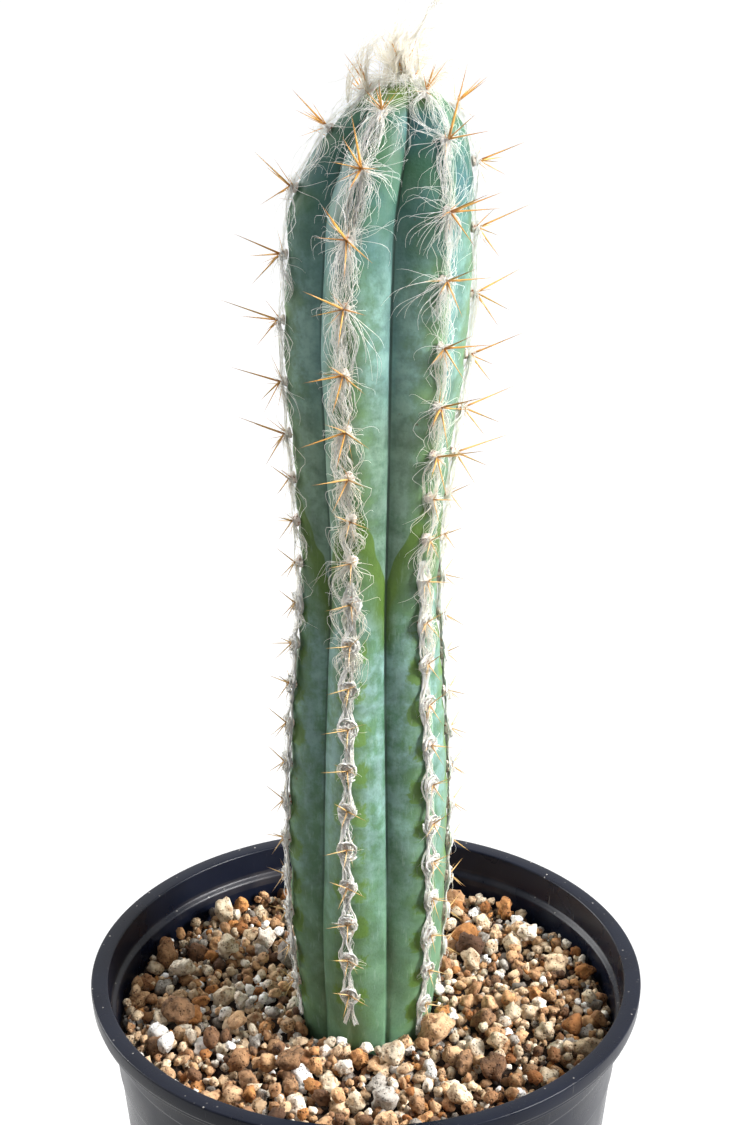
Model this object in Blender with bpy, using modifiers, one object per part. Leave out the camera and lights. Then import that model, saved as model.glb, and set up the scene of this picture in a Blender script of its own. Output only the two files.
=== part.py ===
"""Potted blue torch cactus: nursery pot, gritty soil, ribbed stem, woolly spined ribs and tip.

Metres, +Z up. The origin is the centre of the pot's flat base, and -Y is the front.
Angles round the stem start at the front and turn towards +X.
"""
import math
import random

import bmesh
import bpy
import numpy as np
from mathutils import Matrix, Vector
from mathutils.geometry import delaunay_2d_cdt

# Pot: a moulded cup with an outturned lip, a stacking ledge inside and a flat foot
POT_HEIGHT = 0.160
RIM_RADIUS = 0.0825
MOUTH_RADIUS = 0.0774
LIP_HEIGHT = 0.0062
LIP_WALL = 0.0014
LIP_BEVEL = 0.0010
LIP_DRAFT = 0.0005
COLLAR_RADIUS = 0.0785
LEDGE_DEPTH = 0.0085
LEDGE_SLOPE = 0.0012
MOUTH_BEVEL = 0.0006
WALL_TOP_RADIUS = 0.0752
BASE_RADIUS = 0.0630
POT_WALL = 0.0015
FLOOR_THICKNESS = 0.0025
FOOT_HEIGHT = 0.0030
FOOT_BEVEL = 0.0012
STEP_DEPTHS = (0.0150, 0.0276)
STEP_WIDTH = 0.0004
DRAIN_HOLES = 6
DRAIN_RADIUS = 0.0055
DRAIN_CIRCLE = 0.046
DRAIN_SIDES = 16
POT_SIDES = 64

# Soil: its level below the rim, and the grains of its top dressing, larger than life
SOIL_DEPTH = 0.0125
GRAIN_LARGE = 0.0058
GRAIN_SMALL = 0.0032
GRAIN_TRIES = 5000
GRAIN_SIDES = 5
GRAIN_CROWN = 0.62
GRAIN_MARGIN = 0.8
GRAIN_PACKING = 0.92
GRAIN_SPREAD = (0.85, 1.15)
GRAIN_RELIEF = 0.0030
RELIEF_SPREAD = (0.7, 1.2)
VALLEY_RELIEF = 0.0018
VALLEY_SPREAD = (0.6, 1.3)
SOIL_SEED = 12
SOIL_GAP = 0.0004
STEM_GAP = 0.0004
HOLE_HEIGHTS = (-0.030, -0.045, -0.060)
SAME_POINT = 0.000001

# Stem: heights from the pot's rim, with the crest radius and the share that a groove cuts in
RIBS = 6
STEM_SIDES = 36
STEM_PROFILE = (
    (-0.060, 0.0090), (-0.045, 0.0140), (-0.030, 0.0176), (-0.012, 0.0214), (0.000, 0.0224),
    (0.020, 0.0235), (0.045, 0.0241), (0.075, 0.0233), (0.100, 0.0216), (0.125, 0.0199),
    (0.150, 0.0212), (0.180, 0.0240), (0.200, 0.0251), (0.225, 0.0246),
)
GROOVE_PROFILE = (
    (-0.060, 0.02), (-0.030, 0.05), (0.000, 0.12), (0.060, 0.14), (0.125, 0.12),
    (0.180, 0.19), (0.225, 0.22), (0.262, 0.24),
)
SHOULDER_HEIGHT = 0.225
APEX_HEIGHT = 0.262
STEM_ROWS = 27
DOME_ROWS = 6
FRONT_RIB_ANGLE = math.radians(-13.5)
RIB_TWIST = math.radians(-6.0)
TWIST_START = 0.130
TWIST_LENGTH = 0.080
STEM_OFFSET = 0.0008
STEM_LEAN = 0.0050
LEAN_START = 0.090
LEAN_POWER = 1.6
TIP_LEAN = 0.0040

# Areoles: their spacing along a rib, and the wool that ties them together
AREOLE_START = 0.0088
AREOLE_STAGGER = 0.0064
AREOLE_SPACING = 0.0122
AREOLE_SPACING_TOP = 0.0175
SPACING_GROWTH = (0.160, 0.055)
TIP_CROWDING = (0.80, 0.009, 0.012)
OLD_GROWTH_TOP = 0.140
YOUNG_GROWTH = 0.185
YOUNG_SHARE = 0.4
LOWEST_AREOLE = -0.004
WOOL_GAP = 0.00035
BEAD_HALF_WIDTH = 0.0029
BEAD_HEIGHT = 0.0026
STRAND_HALF_WIDTH = 0.0014
STRAND_HEIGHT = 0.0013
FLEECE_HALF_WIDTH = 0.0032
FLEECE_HEIGHT = 0.0022
FLEECE_PLACES = ((0.36, 1.0), (0.68, 0.8))
WOOL_SECTION = ((-0.85, 0.0), (0.85, 0.0), (0.8, 0.75), (0.0, 1.0), (-0.8, 0.75))
WOOL_END = 0.0021
END_WIDTH = 0.5
END_HEIGHT = 0.6
FRAME_STEP = 0.0004
CREST_SAMPLES = 800

# Spines: lean from the skin, turn round the areole and length, for old and young growth
SPINE_RADIUS = 0.00055
SPINE_ROOT = 0.0012
YOUNG_SPINES = ((64, 15, 0.0150), (38, -95, 0.0120), (30, 100, 0.0085), (36, 190, 0.0110))
OLD_SPINES = ((42, 40, 0.0070), (34, -100, 0.0075), (40, 165, 0.0065))
LOW_LEAN = 60
LEAN_SPREAD = 6
SPINE_SPREAD = 14
LENGTH_SPREAD = (0.85, 1.1)
SPINE_SEED = 5

# Spines near the tip stand up more, point outwards from it and are shorter
TIP_REACH = 0.030
TIP_RISE = 30
TIP_TURN = 1.3
TIP_SHORTENING = 0.25

# Tip: a woolly crown that rises into a plume, by height, radius and lean, with locks and young spines
PLUME_PROFILE = (
    (0.0000, 0.0056, 0.0000), (0.0020, 0.0050, 0.0000), (0.0040, 0.0037, 0.0000), (0.0075, 0.0030, -0.0003),
    (0.0115, 0.0024, 0.0004), (0.0148, 0.0015, 0.0022), (0.0178, 0.0005, 0.0048),
)
PLUME_SIDES = 10
PLUME_FLUTE = 0.14
PLUME_TWIST = 60
PLUME_LOCKS = 5
PLUME_LENGTH = 0.0120
PLUME_LENGTHS = (0.70, 1.0)
PLUME_ROOT = (0.0024, 0.0014)
PLUME_MIDDLE = (0.25, 0.55)
PLUME_TIP = (0.70, 0.85)
TIP_SPINES = 5
TIP_SPINE_LENGTH = 0.0120
TIP_SPINE_LENGTHS = (0.8, 1.1)
TIP_SPINE_LEAN = 0.6
TIP_SPINE_TURN = 0.3

# Locks of hair: in the plume, and hanging from the young areoles
LOCK_RADIUS = 0.0012
LOCK_LENGTH = 0.0125
LOCK_SWEEP = 0.0056
LOCK_RISE = 0.0034
LOCK_MIDDLE = (0.8, 0.35)
LOCK_TAPER = ((0, 1.0), (0.5, 0.8), (1.0, 0.15))


def smooth_through(points, position):
    """Value at a position on the smooth curve through (position, value) points."""
    known, values = np.array(points).T
    slopes = np.gradient(values, known)
    left = np.clip(np.searchsorted(known, position) - 1, 0, len(known) - 2)
    span = known[left + 1] - known[left]
    t = np.clip((position - known[left]) / span, 0, 1)
    rise = t * t * (3 - 2 * t)
    start_slope = t * (1 - t) ** 2 * span * slopes[left]
    end_slope = t * t * (t - 1) * span * slopes[left + 1]
    return values[left] + rise * (values[left + 1] - values[left]) + start_slope + end_slope


def ease(value, start, length):
    """0 before start, 1 after start + length, and an even S curve between them."""
    t = np.clip((value - start) / length, 0, 1)
    return t * t * (3 - 2 * t)


def crest_radius(height):
    """Distance from the stem's axis to a rib's crest: the profile, then an elliptic dome."""
    t = np.clip((height - SHOULDER_HEIGHT) / (APEX_HEIGHT - SHOULDER_HEIGHT), 0, 1)
    return smooth_through(STEM_PROFILE, np.minimum(height, SHOULDER_HEIGHT)) * np.sqrt(1 - t * t)


def rib_angle(rib, height):
    """Angle of a rib's crest, which turns a little above the waist."""
    turn = RIB_TWIST * ease(height, TWIST_START, TWIST_LENGTH)
    return FRONT_RIB_ANGLE + turn + rib * 2 * math.pi / RIBS


def stem_centre(height):
    """X of the stem's axis, which leans to +X above the waist and again at the tip."""
    bend = np.maximum(height - LEAN_START, 0) / (APEX_HEIGHT - LEAN_START)
    tip = ease(height, SHOULDER_HEIGHT, APEX_HEIGHT - SHOULDER_HEIGHT)
    return STEM_OFFSET + STEM_LEAN * bend ** LEAN_POWER + TIP_LEAN * tip


def stem_point(height, angle):
    """Point of the skin: each rib is an arch whose edges meet in a sharp groove."""
    from_crest = (angle - rib_angle(0, height)) * RIBS / (2 * math.pi)
    across = 2 * np.abs(from_crest - np.round(from_crest))
    groove = smooth_through(GROOVE_PROFILE, height)
    radius = crest_radius(height) * (1 - groove * across ** 2)
    x = stem_centre(height) + radius * np.sin(angle)
    return np.stack(np.broadcast_arrays(x, -radius * np.cos(angle), POT_HEIGHT + height), axis=-1)


def make_material(name, colour, roughness):
    """Principled surface of one linear colour, with no metal in it."""
    material = bpy.data.materials.new(name)
    material.use_nodes = True
    shader = material.node_tree.nodes["Principled BSDF"]
    shader.inputs["Base Color"].default_value = (*colour, 1.0)
    shader.inputs["Roughness"].default_value = roughness
    shader.inputs["Metallic"].default_value = 0.0
    return material


def add_object(name, mesh, collection, material=None):
    """Object of a mesh, in a collection, with its material."""
    if material:
        mesh.materials.append(material)
    item = bpy.data.objects.new(name, mesh)
    collection.objects.link(item)
    return item


def bm_to_object(bm, name, collection, material=None):
    """Object of a bmesh, with its faces turned outwards."""
    bmesh.ops.recalc_face_normals(bm, faces=bm.faces)
    mesh = bpy.data.meshes.new(name)
    bm.to_mesh(mesh)
    bm.free()
    return add_object(name, mesh, collection, material)


def join_rings(bm, low, high):
    """Wall of faces between two rings with the same number of points."""
    for i, vert in enumerate(low):
        after = (i + 1) % len(low)
        bm.faces.new((vert, low[after], high[after], high[i]))


def loft(bm, rows, closed_top=True):
    """Closed skin over rings of points, with a face over each end ring."""
    rings = [[bm.verts.new(point) for point in row] for row in rows]
    for low, high in zip(rings, rings[1:]):
        join_rings(bm, low, high)
    bm.faces.new(rings[0])
    if closed_top:
        bm.faces.new(rings[-1])
    return rings


def circle(radius, sides, centre_x=0.0):
    """Plan points round a circle, from +X, turning towards +Y."""
    turns = [2 * math.pi * i / sides for i in range(sides)]
    return [Vector((centre_x + radius * math.cos(a), radius * math.sin(a))) for a in turns]


def ring_at(bm, plan, z):
    """Ring of corners at one height."""
    return [bm.verts.new((point.x, point.y, z)) for point in plan]


def pot_profile():
    """Half section of the pot, from the middle of its floor, over the lip, to its base."""
    rim = POT_HEIGHT
    skirt = rim - LIP_HEIGHT
    slope = (WALL_TOP_RADIUS - (BASE_RADIUS - POT_WALL)) / (rim - LEDGE_DEPTH - FLOOR_THICKNESS)

    def wall(z):
        """Outer radius of the tapering wall at a height."""
        return BASE_RADIUS + slope * (z - FLOOR_THICKNESS)

    inside = [
        (0, FLOOR_THICKNESS), (BASE_RADIUS - POT_WALL, FLOOR_THICKNESS),
        (WALL_TOP_RADIUS, rim - LEDGE_DEPTH - LEDGE_SLOPE), (MOUTH_RADIUS - MOUTH_BEVEL, rim - LEDGE_DEPTH),
        (MOUTH_RADIUS, rim - MOUTH_BEVEL), (MOUTH_RADIUS + MOUTH_BEVEL, rim),
    ]
    lip = [
        (RIM_RADIUS - LIP_BEVEL, rim), (RIM_RADIUS, rim - LIP_BEVEL), (RIM_RADIUS - LIP_DRAFT, skirt),
        (RIM_RADIUS - LIP_WALL - LIP_DRAFT, skirt), (RIM_RADIUS - LIP_WALL, rim - LIP_WALL),
        (COLLAR_RADIUS, rim - LIP_WALL),
    ]
    outside = []
    for number, depth in enumerate(STEP_DEPTHS):
        proud = STEP_WIDTH * (len(STEP_DEPTHS) - number)
        outside += [(wall(rim - depth) + proud, rim - depth)]
        outside += [(wall(rim - depth) + proud - STEP_WIDTH, rim - depth - STEP_WIDTH)]
    foot = [(wall(FOOT_HEIGHT), FOOT_HEIGHT), (BASE_RADIUS - FOOT_BEVEL, 0), (0, 0)]
    return inside + lip + outside + foot


def make_pot(collection, cutters):
    """Moulded pot: its section turned round the axis, with drain holes in the floor."""
    profile = [Vector((radius, 0, z)) for radius, z in pot_profile()]
    mesh = bpy.data.meshes.new("pot")
    mesh.from_pydata(profile, [(i, i + 1) for i in range(len(profile) - 1)], [])
    pot = add_object("pot", mesh, collection, make_material("black_plastic", (0.012, 0.013, 0.016), 0.38))
    screw = pot.modifiers.new("turned", "SCREW")
    screw.steps = POT_SIDES
    screw.render_steps = POT_SIDES
    screw.use_merge_vertices = True
    screw.merge_threshold = 0.00001
    screw.use_normal_calculate = True
    for number in range(DRAIN_HOLES):
        angle = (number + 0.5) * 2 * math.pi / DRAIN_HOLES
        bm = bmesh.new()
        place = Matrix.Translation((DRAIN_CIRCLE * math.cos(angle), DRAIN_CIRCLE * math.sin(angle), 0))
        bmesh.ops.create_cone(
            bm, cap_ends=True, segments=DRAIN_SIDES, radius1=DRAIN_RADIUS, radius2=DRAIN_RADIUS,
            depth=4 * FLOOR_THICKNESS, matrix=place)
        hole = bm_to_object(bm, f"drain_cutter_{number + 1}", cutters)
        hole.hide_render = True
        hole.display_type = "WIRE"
    drain = pot.modifiers.new("drain_holes", "BOOLEAN")
    drain.operand_type = "COLLECTION"
    drain.collection = cutters
    return pot


def scatter_grains(hole_radius, edge_radius):
    """Centres and radii of the grains, largest first, each laid clear of those before it."""
    draw = random.Random(SOIL_SEED)
    grains = []
    for attempt in range(GRAIN_TRIES):
        radius = GRAIN_LARGE + (GRAIN_SMALL - GRAIN_LARGE) * math.sqrt(attempt / GRAIN_TRIES)
        angle = draw.uniform(0, 2 * math.pi)
        inner, outer = hole_radius + GRAIN_MARGIN * radius, edge_radius - GRAIN_MARGIN * radius
        distance = math.sqrt(draw.uniform(inner ** 2, outer ** 2))
        centre = Vector((distance * math.cos(angle), distance * math.sin(angle)))
        if all((centre - other).length > GRAIN_PACKING * (radius + size) for other, size in grains):
            grains.append((centre, radius))
    return grains


def dressing_points(hole, edge):
    """Plan points and relief of the top dressing: the rings, then the grains and their valleys."""
    draw = random.Random(SOIL_SEED + 1)
    grains = scatter_grains(hole[0].length, edge[0].length)
    plan = hole + edge
    relief = [0.0] * len(plan)
    for centre, radius in grains:
        turn = draw.uniform(0, 2 * math.pi)
        for side in range(GRAIN_SIDES):
            angle = turn + 2 * math.pi * side / GRAIN_SIDES
            reach = GRAIN_CROWN * radius * draw.uniform(*GRAIN_SPREAD)
            plan.append(centre + Vector((reach * math.cos(angle), reach * math.sin(angle))))
            relief.append(GRAIN_RELIEF * draw.uniform(*RELIEF_SPREAD) * radius / GRAIN_LARGE)
    centres = hole + edge + [centre for centre, radius in grains]
    triangles = delaunay_2d_cdt(centres, [], [], 0, SAME_POINT)
    for corners in triangles[2]:
        if max(corners) >= len(hole) + len(edge):
            plan.append(sum((triangles[0][i] for i in corners), Vector((0, 0))) / 3)
            relief.append(-VALLEY_RELIEF * draw.uniform(*VALLEY_SPREAD))
    return plan, relief


def make_soil(collection):
    """Soil that fills the pot, with a pebbled top and a plain hole that takes the stem."""
    level = POT_HEIGHT - SOIL_DEPTH
    edge = circle(WALL_TOP_RADIUS - SOIL_GAP, POT_SIDES)
    hole = circle(float(crest_radius(-SOIL_DEPTH)) + STEM_GAP, STEM_SIDES, STEM_OFFSET)
    plan, relief = dressing_points(hole, edge)
    first = len(hole)
    rings = [((i + 1) % first, i) for i in range(first)]
    rings += [(first + i, first + (i + 1) % POT_SIDES) for i in range(POT_SIDES)]
    points, _, faces, origins, _, _ = delaunay_2d_cdt(plan, rings, [], 1, SAME_POINT)
    bm = bmesh.new()
    heights = [relief[origin[0]] for origin in origins]
    top = [bm.verts.new((p.x, p.y, level + rise)) for p, rise in zip(points, heights)]
    for corners in faces:
        if max(corners) >= first:
            bm.faces.new([top[i] for i in corners])
    base = ring_at(bm, circle(BASE_RADIUS - POT_WALL - SOIL_GAP, POT_SIDES), FLOOR_THICKNESS + SOIL_GAP)
    join_rings(bm, top[first:first + POT_SIDES], base)
    bm.faces.new(base)
    upper = top[:first]
    for height in HOLE_HEIGHTS:
        radius = float(crest_radius(height)) + STEM_GAP
        lower = ring_at(bm, circle(radius, STEM_SIDES, STEM_OFFSET), POT_HEIGHT + height - STEM_GAP)
        join_rings(bm, upper, lower)
        upper = lower
    bm.faces.new(upper)
    return bm_to_object(bm, "soil", collection, make_material("pumice_gravel", (0.40, 0.25, 0.15), 0.9))


def make_stem(collection):
    """Ribbed column: sections lofted from the buried root end up over the dome."""
    column = np.linspace(STEM_PROFILE[0][0], SHOULDER_HEIGHT, STEM_ROWS)
    bow = np.sin(np.linspace(0, math.pi / 2, DOME_ROWS + 2)[1:-1])
    dome = SHOULDER_HEIGHT + (APEX_HEIGHT - SHOULDER_HEIGHT) * bow
    turns = np.arange(STEM_SIDES) * 2 * math.pi / STEM_SIDES
    bm = bmesh.new()
    rows = [stem_point(height, rib_angle(0, height) + turns) for height in (*column, *dome)]
    rings = loft(bm, rows, closed_top=False)
    apex = bm.verts.new((float(stem_centre(APEX_HEIGHT)), 0, POT_HEIGHT + APEX_HEIGHT))
    for i, vert in enumerate(rings[-1]):
        bm.faces.new((vert, rings[-1][(i + 1) % STEM_SIDES], apex))
    return bm_to_object(bm, "stem", collection, make_material("cactus_skin", (0.13, 0.27, 0.24), 0.55))


def crest_line(rib):
    """Heights down a rib's crest from the apex, with the distance along it to each."""
    low = LOWEST_AREOLE - 2 * WOOL_END
    t = np.linspace(0, 1, CREST_SAMPLES)
    heights = APEX_HEIGHT - (APEX_HEIGHT - low) * t ** 2
    points = stem_point(heights, rib_angle(rib, heights))
    steps = np.linalg.norm(np.diff(points, axis=0), axis=1)
    return heights, np.concatenate(([0], np.cumsum(steps)))


def crest_frame(rib, height):
    """Point on a rib's crest with its outward, sideways and upward directions."""
    heights = (height - FRAME_STEP, height, height + FRAME_STEP)
    bottom, point, top = (stem_point(h, rib_angle(rib, h)) for h in heights)
    up = Vector(top - bottom).normalized()
    angle = rib_angle(rib, height)
    side = Vector((math.cos(angle), math.sin(angle), 0))
    out = side.cross(up).normalized()
    return Vector(point), out, up.cross(out), up


def youth(height):
    """0 on the old growth below the waist, 1 on the young growth near the tip."""
    return float(ease(height, OLD_GROWTH_TOP, YOUNG_GROWTH - OLD_GROWTH_TOP))


def areole_distances(rib):
    """Distances down the crest to the areoles, which stagger from one rib to the next.

    They stand wider apart on young growth, but crowd together at the tip.
    """
    heights, along = crest_line(rib)
    distance = AREOLE_START + AREOLE_STAGGER * ((rib + 1) % 2)
    crowding, crowd_start, crowd_length = TIP_CROWDING
    found = []
    while np.interp(distance, along, heights) > LOWEST_AREOLE and distance < along[-1]:
        found.append(distance)
        wide = float(ease(np.interp(distance, along, heights), *SPACING_GROWTH))
        spacing = AREOLE_SPACING + (AREOLE_SPACING_TOP - AREOLE_SPACING) * wide
        distance += spacing * (crowding + (1 - crowding) * float(ease(distance, crowd_start, crowd_length)))
    return found


def wool_section(rib, height, half_width, thickness):
    """Five-sided section of wool that lies just clear of the crest."""
    point, out, side, _ = crest_frame(rib, height)
    base = point + out * WOOL_GAP
    return [base + side * half_width * x + out * thickness * y for x, y in WOOL_SECTION]


def wool_strip(rib, distances):
    """Rows of sections down a rib: a bead at each areole and a matted strand between them."""
    heights, along = crest_line(rib)

    def section(distance, half_width, thickness):
        """Section at a distance down the crest."""
        return wool_section(rib, float(np.interp(distance, along, heights)), half_width, thickness)

    end_size = END_WIDTH * STRAND_HALF_WIDTH, END_HEIGHT * STRAND_HEIGHT
    rows = [section(distances[0] - WOOL_END, *end_size)]
    gaps = np.diff(distances, append=distances[-1])
    for distance, gap in zip(distances, gaps):
        young = youth(np.interp(distance, along, heights))
        width = STRAND_HALF_WIDTH + (FLEECE_HALF_WIDTH - STRAND_HALF_WIDTH) * young
        height = STRAND_HEIGHT + (FLEECE_HEIGHT - STRAND_HEIGHT) * young
        rows.append(section(distance, BEAD_HALF_WIDTH, BEAD_HEIGHT))
        if gap:
            rows += [section(distance + place * gap, share * width, share * height)
                     for place, share in FLEECE_PLACES]
    rows.append(section(distances[-1] + WOOL_END, *end_size))
    return rows


def spine_cone():
    """Three-sided needle of unit length along +Z, with its root at the origin."""
    bm = bmesh.new()
    bmesh.ops.create_cone(
        bm, cap_ends=True, segments=3, radius1=1, radius2=0, depth=1,
        matrix=Matrix.Translation((0, 0, 0.5)))
    mesh = bpy.data.meshes.new("spine")
    bm.to_mesh(mesh)
    bm.free()
    return mesh


def place_spine(mesh, repeats, root, direction, length):
    """One spine, from its root along a direction."""
    spine = bpy.data.objects.new("spine", mesh)
    turn = direction.to_track_quat("Z", "Y").to_matrix().to_4x4()
    size = Matrix.Diagonal((SPINE_RADIUS, SPINE_RADIUS, length, 1))
    spine.matrix_world = Matrix.Translation(root) @ turn @ size
    repeats.objects.link(spine)


def place_rib_spines(rib, distances, mesh, repeats):
    """Spines of a rib: a few round each areole, long and few on young growth."""
    draw = random.Random(SPINE_SEED + rib)
    heights, along = crest_line(rib)
    for distance in distances:
        height = float(np.interp(distance, along, heights))
        point, out, side, up = crest_frame(rib, height)
        root = point + out * (WOOL_GAP + SPINE_ROOT)
        near_tip = 1 - float(ease(distance, AREOLE_START, TIP_REACH))
        mirror = draw.choice((-1, 1))
        for lean, turn, length in YOUNG_SPINES if youth(height) > YOUNG_SHARE else OLD_SPINES:
            rise = TIP_RISE * near_tip * (lean < LOW_LEAN)
            lean = math.radians(lean + draw.uniform(-LEAN_SPREAD, LEAN_SPREAD) + rise)
            turn = math.radians(mirror * turn + draw.uniform(-SPINE_SPREAD, SPINE_SPREAD))
            flat = side * math.sin(turn) + up * math.cos(turn) * (1 - TIP_TURN * near_tip)
            direction = (out * math.sin(lean) + flat * math.cos(lean)).normalized()
            length *= draw.uniform(*LENGTH_SPREAD) * (1 - TIP_SHORTENING * near_tip)
            place_spine(mesh, repeats, root, direction, length)


def keep_main_shell(mesh):
    """Drops every shell but the largest, which fills a sealed hollow and removes a loose scrap."""
    bm = bmesh.new()
    bm.from_mesh(mesh)
    waiting = set(bm.faces)
    shells = []
    while waiting:
        shell = [waiting.pop()]
        for face in shell:
            near = {other for edge in face.edges for other in edge.link_faces} & waiting
            waiting -= near
            shell.extend(near)
        shells.append(shell)
    shells.sort(key=len)
    for shell in shells[:-1]:
        bmesh.ops.delete(bm, geom=shell, context="FACES")
    bm.to_mesh(mesh)
    bm.free()


def fuse(core, repeats, collection, material):
    """One Boolean union joins the repeats to their core, and the repeats are removed."""
    union = core.modifiers.new("fused", "BOOLEAN")
    union.operation = "UNION"
    union.operand_type = "COLLECTION"
    union.collection = repeats
    union.solver = "MANIFOLD"
    bpy.context.view_layer.update()
    graph = bpy.context.evaluated_depsgraph_get()
    fused = bpy.data.meshes.new_from_object(core.evaluated_get(graph))
    keep_main_shell(fused)
    name = core.name
    for item in (core, *repeats.objects):
        bpy.data.objects.remove(item)
    bpy.data.collections.remove(repeats)
    fused.materials.clear()
    return add_object(name, fused, collection, material)


def new_collection(name):
    """Collection in the scene."""
    collection = bpy.data.collections.new(name)
    bpy.context.scene.collection.children.link(collection)
    return collection


def make_rib_wool(rib, collection, mesh, material):
    """Woolly areoles of one rib with their spines, as one body."""
    distances = areole_distances(rib)
    bm = bmesh.new()
    loft(bm, wool_strip(rib, distances))
    strip = bm_to_object(bm, f"wool_rib_{rib + 1}", collection)
    repeats = new_collection(f"spines_{rib + 1}")
    place_rib_spines(rib, distances, mesh, repeats)
    hang_rib_locks(rib, distances, repeats)
    return fuse(strip, repeats, collection, material)


def add_lock(root, middle, tip, repeats):
    """Three-sided lock of hair that thins along an arc from its root, drawn by its middle, to its tip."""
    bm = bmesh.new()
    rows = []
    for t, share in LOCK_TAPER:
        centre = root * (1 - t) ** 2 + middle * 2 * t * (1 - t) + tip * t * t
        along = (middle - root) * (1 - t) + (tip - middle) * t
        turn = along.to_track_quat("Z", "Y")
        rows.append([centre + turn @ corner.to_3d() * share for corner in circle(LOCK_RADIUS, 3)])
    loft(bm, rows)
    bm_to_object(bm, "lock", repeats)


def hang_rib_locks(rib, distances, repeats):
    """Locks that hang from the young areoles, to one side of the crest and then the other."""
    heights, along = crest_line(rib)
    middle_sweep, middle_drop = LOCK_MIDDLE
    for number, distance in enumerate(distances):
        height = float(np.interp(distance, along, heights))
        if youth(height) > YOUNG_SHARE:
            point, out, side, up = crest_frame(rib, height)
            root = point + out * (WOOL_GAP + SPINE_ROOT)
            sweep = side * LOCK_SWEEP * (-1) ** (number + rib)
            middle = root + middle_sweep * sweep + out * LOCK_RISE - up * middle_drop * LOCK_LENGTH
            add_lock(root, middle, root + sweep - up * LOCK_LENGTH, repeats)


def plume_rows(base):
    """Rings of the crown and the plume: a fluted flame that twists as it rises and leans at its end."""
    rows = []
    for height, radius, lean in PLUME_PROFILE:
        twist = math.radians(PLUME_TWIST) * height / PLUME_PROFILE[-1][0]
        centre = base + Vector((lean, 0, height))
        row = []
        for side in range(PLUME_SIDES):
            angle = 2 * math.pi * side / PLUME_SIDES + twist
            reach = radius * (1 - PLUME_FLUTE * (side % 2))
            row.append(centre + Vector((reach * math.cos(angle), reach * math.sin(angle), 0)))
        rows.append(row)
    return rows


def make_tip(collection, mesh, material):
    """Crown of wool on the growing tip, which rises into a plume, with a few locks and young spines round it."""
    draw = random.Random(SPINE_SEED)
    base = Vector((float(stem_centre(APEX_HEIGHT)), 0, POT_HEIGHT + APEX_HEIGHT + WOOL_GAP))
    bm = bmesh.new()
    loft(bm, plume_rows(base))
    crown = bm_to_object(bm, "wool_tip", collection)
    repeats = new_collection("tip_repeats")
    up = Vector((0, 0, 1))
    root_reach, root_height = PLUME_ROOT
    for number in range(PLUME_LOCKS):
        angle = 2 * math.pi * number / PLUME_LOCKS
        away = Vector((math.cos(angle), math.sin(angle), 0))
        start = base + root_reach * away + root_height * up
        length = PLUME_LENGTH * draw.uniform(*PLUME_LENGTHS)
        middle, tip = (start + (out * away + rise * up) * length for out, rise in (PLUME_MIDDLE, PLUME_TIP))
        add_lock(start, middle, tip, repeats)
    for number in range(TIP_SPINES):
        angle = 2 * math.pi * (number + TIP_SPINE_TURN) / TIP_SPINES
        out = Vector((math.cos(angle), math.sin(angle), 0))
        length = TIP_SPINE_LENGTH * draw.uniform(*TIP_SPINE_LENGTHS)
        place_spine(mesh, repeats, base + root_height * up, (TIP_SPINE_LEAN * out + up).normalized(), length)
    return fuse(crown, repeats, collection, material)


def main():
    """The whole plant in its pot."""
    for item in list(bpy.data.objects):
        bpy.data.objects.remove(item)
    collection = new_collection("potted_blue_torch_cactus")
    cutters = new_collection("cutters")
    make_pot(collection, cutters)
    make_soil(collection)
    make_stem(collection)
    spine = spine_cone()
    wool = make_material("spined_wool", (0.72, 0.62, 0.46), 0.85)
    for rib in range(RIBS):
        make_rib_wool(rib, collection, spine, wool)
    make_tip(collection, spine, wool)
    bpy.data.meshes.remove(spine)


main()
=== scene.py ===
"""Looks of the potted blue torch cactus: moulded pot, pumice dressing, waxy ribbed skin, wool, spines."""
import math
import random

import bpy
import numpy as np
from mathutils import Matrix, Vector


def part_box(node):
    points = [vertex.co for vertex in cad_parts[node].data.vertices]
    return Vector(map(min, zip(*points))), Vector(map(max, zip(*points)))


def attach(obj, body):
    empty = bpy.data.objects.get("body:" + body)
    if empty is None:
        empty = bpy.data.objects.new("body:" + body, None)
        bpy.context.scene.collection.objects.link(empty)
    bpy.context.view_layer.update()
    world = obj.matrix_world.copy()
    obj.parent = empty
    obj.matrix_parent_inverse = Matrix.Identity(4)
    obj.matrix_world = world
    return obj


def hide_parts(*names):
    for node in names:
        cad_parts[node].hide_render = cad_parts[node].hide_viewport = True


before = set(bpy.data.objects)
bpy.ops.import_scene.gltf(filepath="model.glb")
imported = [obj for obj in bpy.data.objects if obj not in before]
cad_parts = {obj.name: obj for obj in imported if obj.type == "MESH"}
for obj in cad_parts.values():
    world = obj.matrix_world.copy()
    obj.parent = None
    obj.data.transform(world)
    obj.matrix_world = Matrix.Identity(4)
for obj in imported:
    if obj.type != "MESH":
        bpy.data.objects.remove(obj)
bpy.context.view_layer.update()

# Studio: a plain white floor that glows like a light table and runs out to a white wall, soft light from
# behind, a large key light at the right, a lesser one at the back left and a weak one in front.
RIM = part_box("pot")[1].z
CAMERA_PLACE = (0.0027, -0.5181, RIM + 0.3342)
CAMERA_PITCH = math.radians(21.46)
LENS = 64
SENSOR = 36
KEY_LIGHT = {"energy": 54, "size": 0.55, "place": (1.18, -0.30, 1.05)}
FILL_LIGHT = {"energy": 2.5, "size": 0.8, "place": (0.30, -1.25, 0.75)}
RIM_LIGHT = {"energy": 17, "size": 0.8, "place": (-1.10, 0.60, 0.70)}
AIM = Vector((0, 0, 0.26))
WORLD_FRONT, WORLD_BACK = 0.16, 1.05
WORLD_SPAN = (-0.55, 0.3)
FLOOR_HALF = 16.0
FLOOR_GLOW, WALL_GLOW = 0.90, 1.0
FLOOR_GREY = (0.12, 0.12, 0.12, 1)
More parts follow.
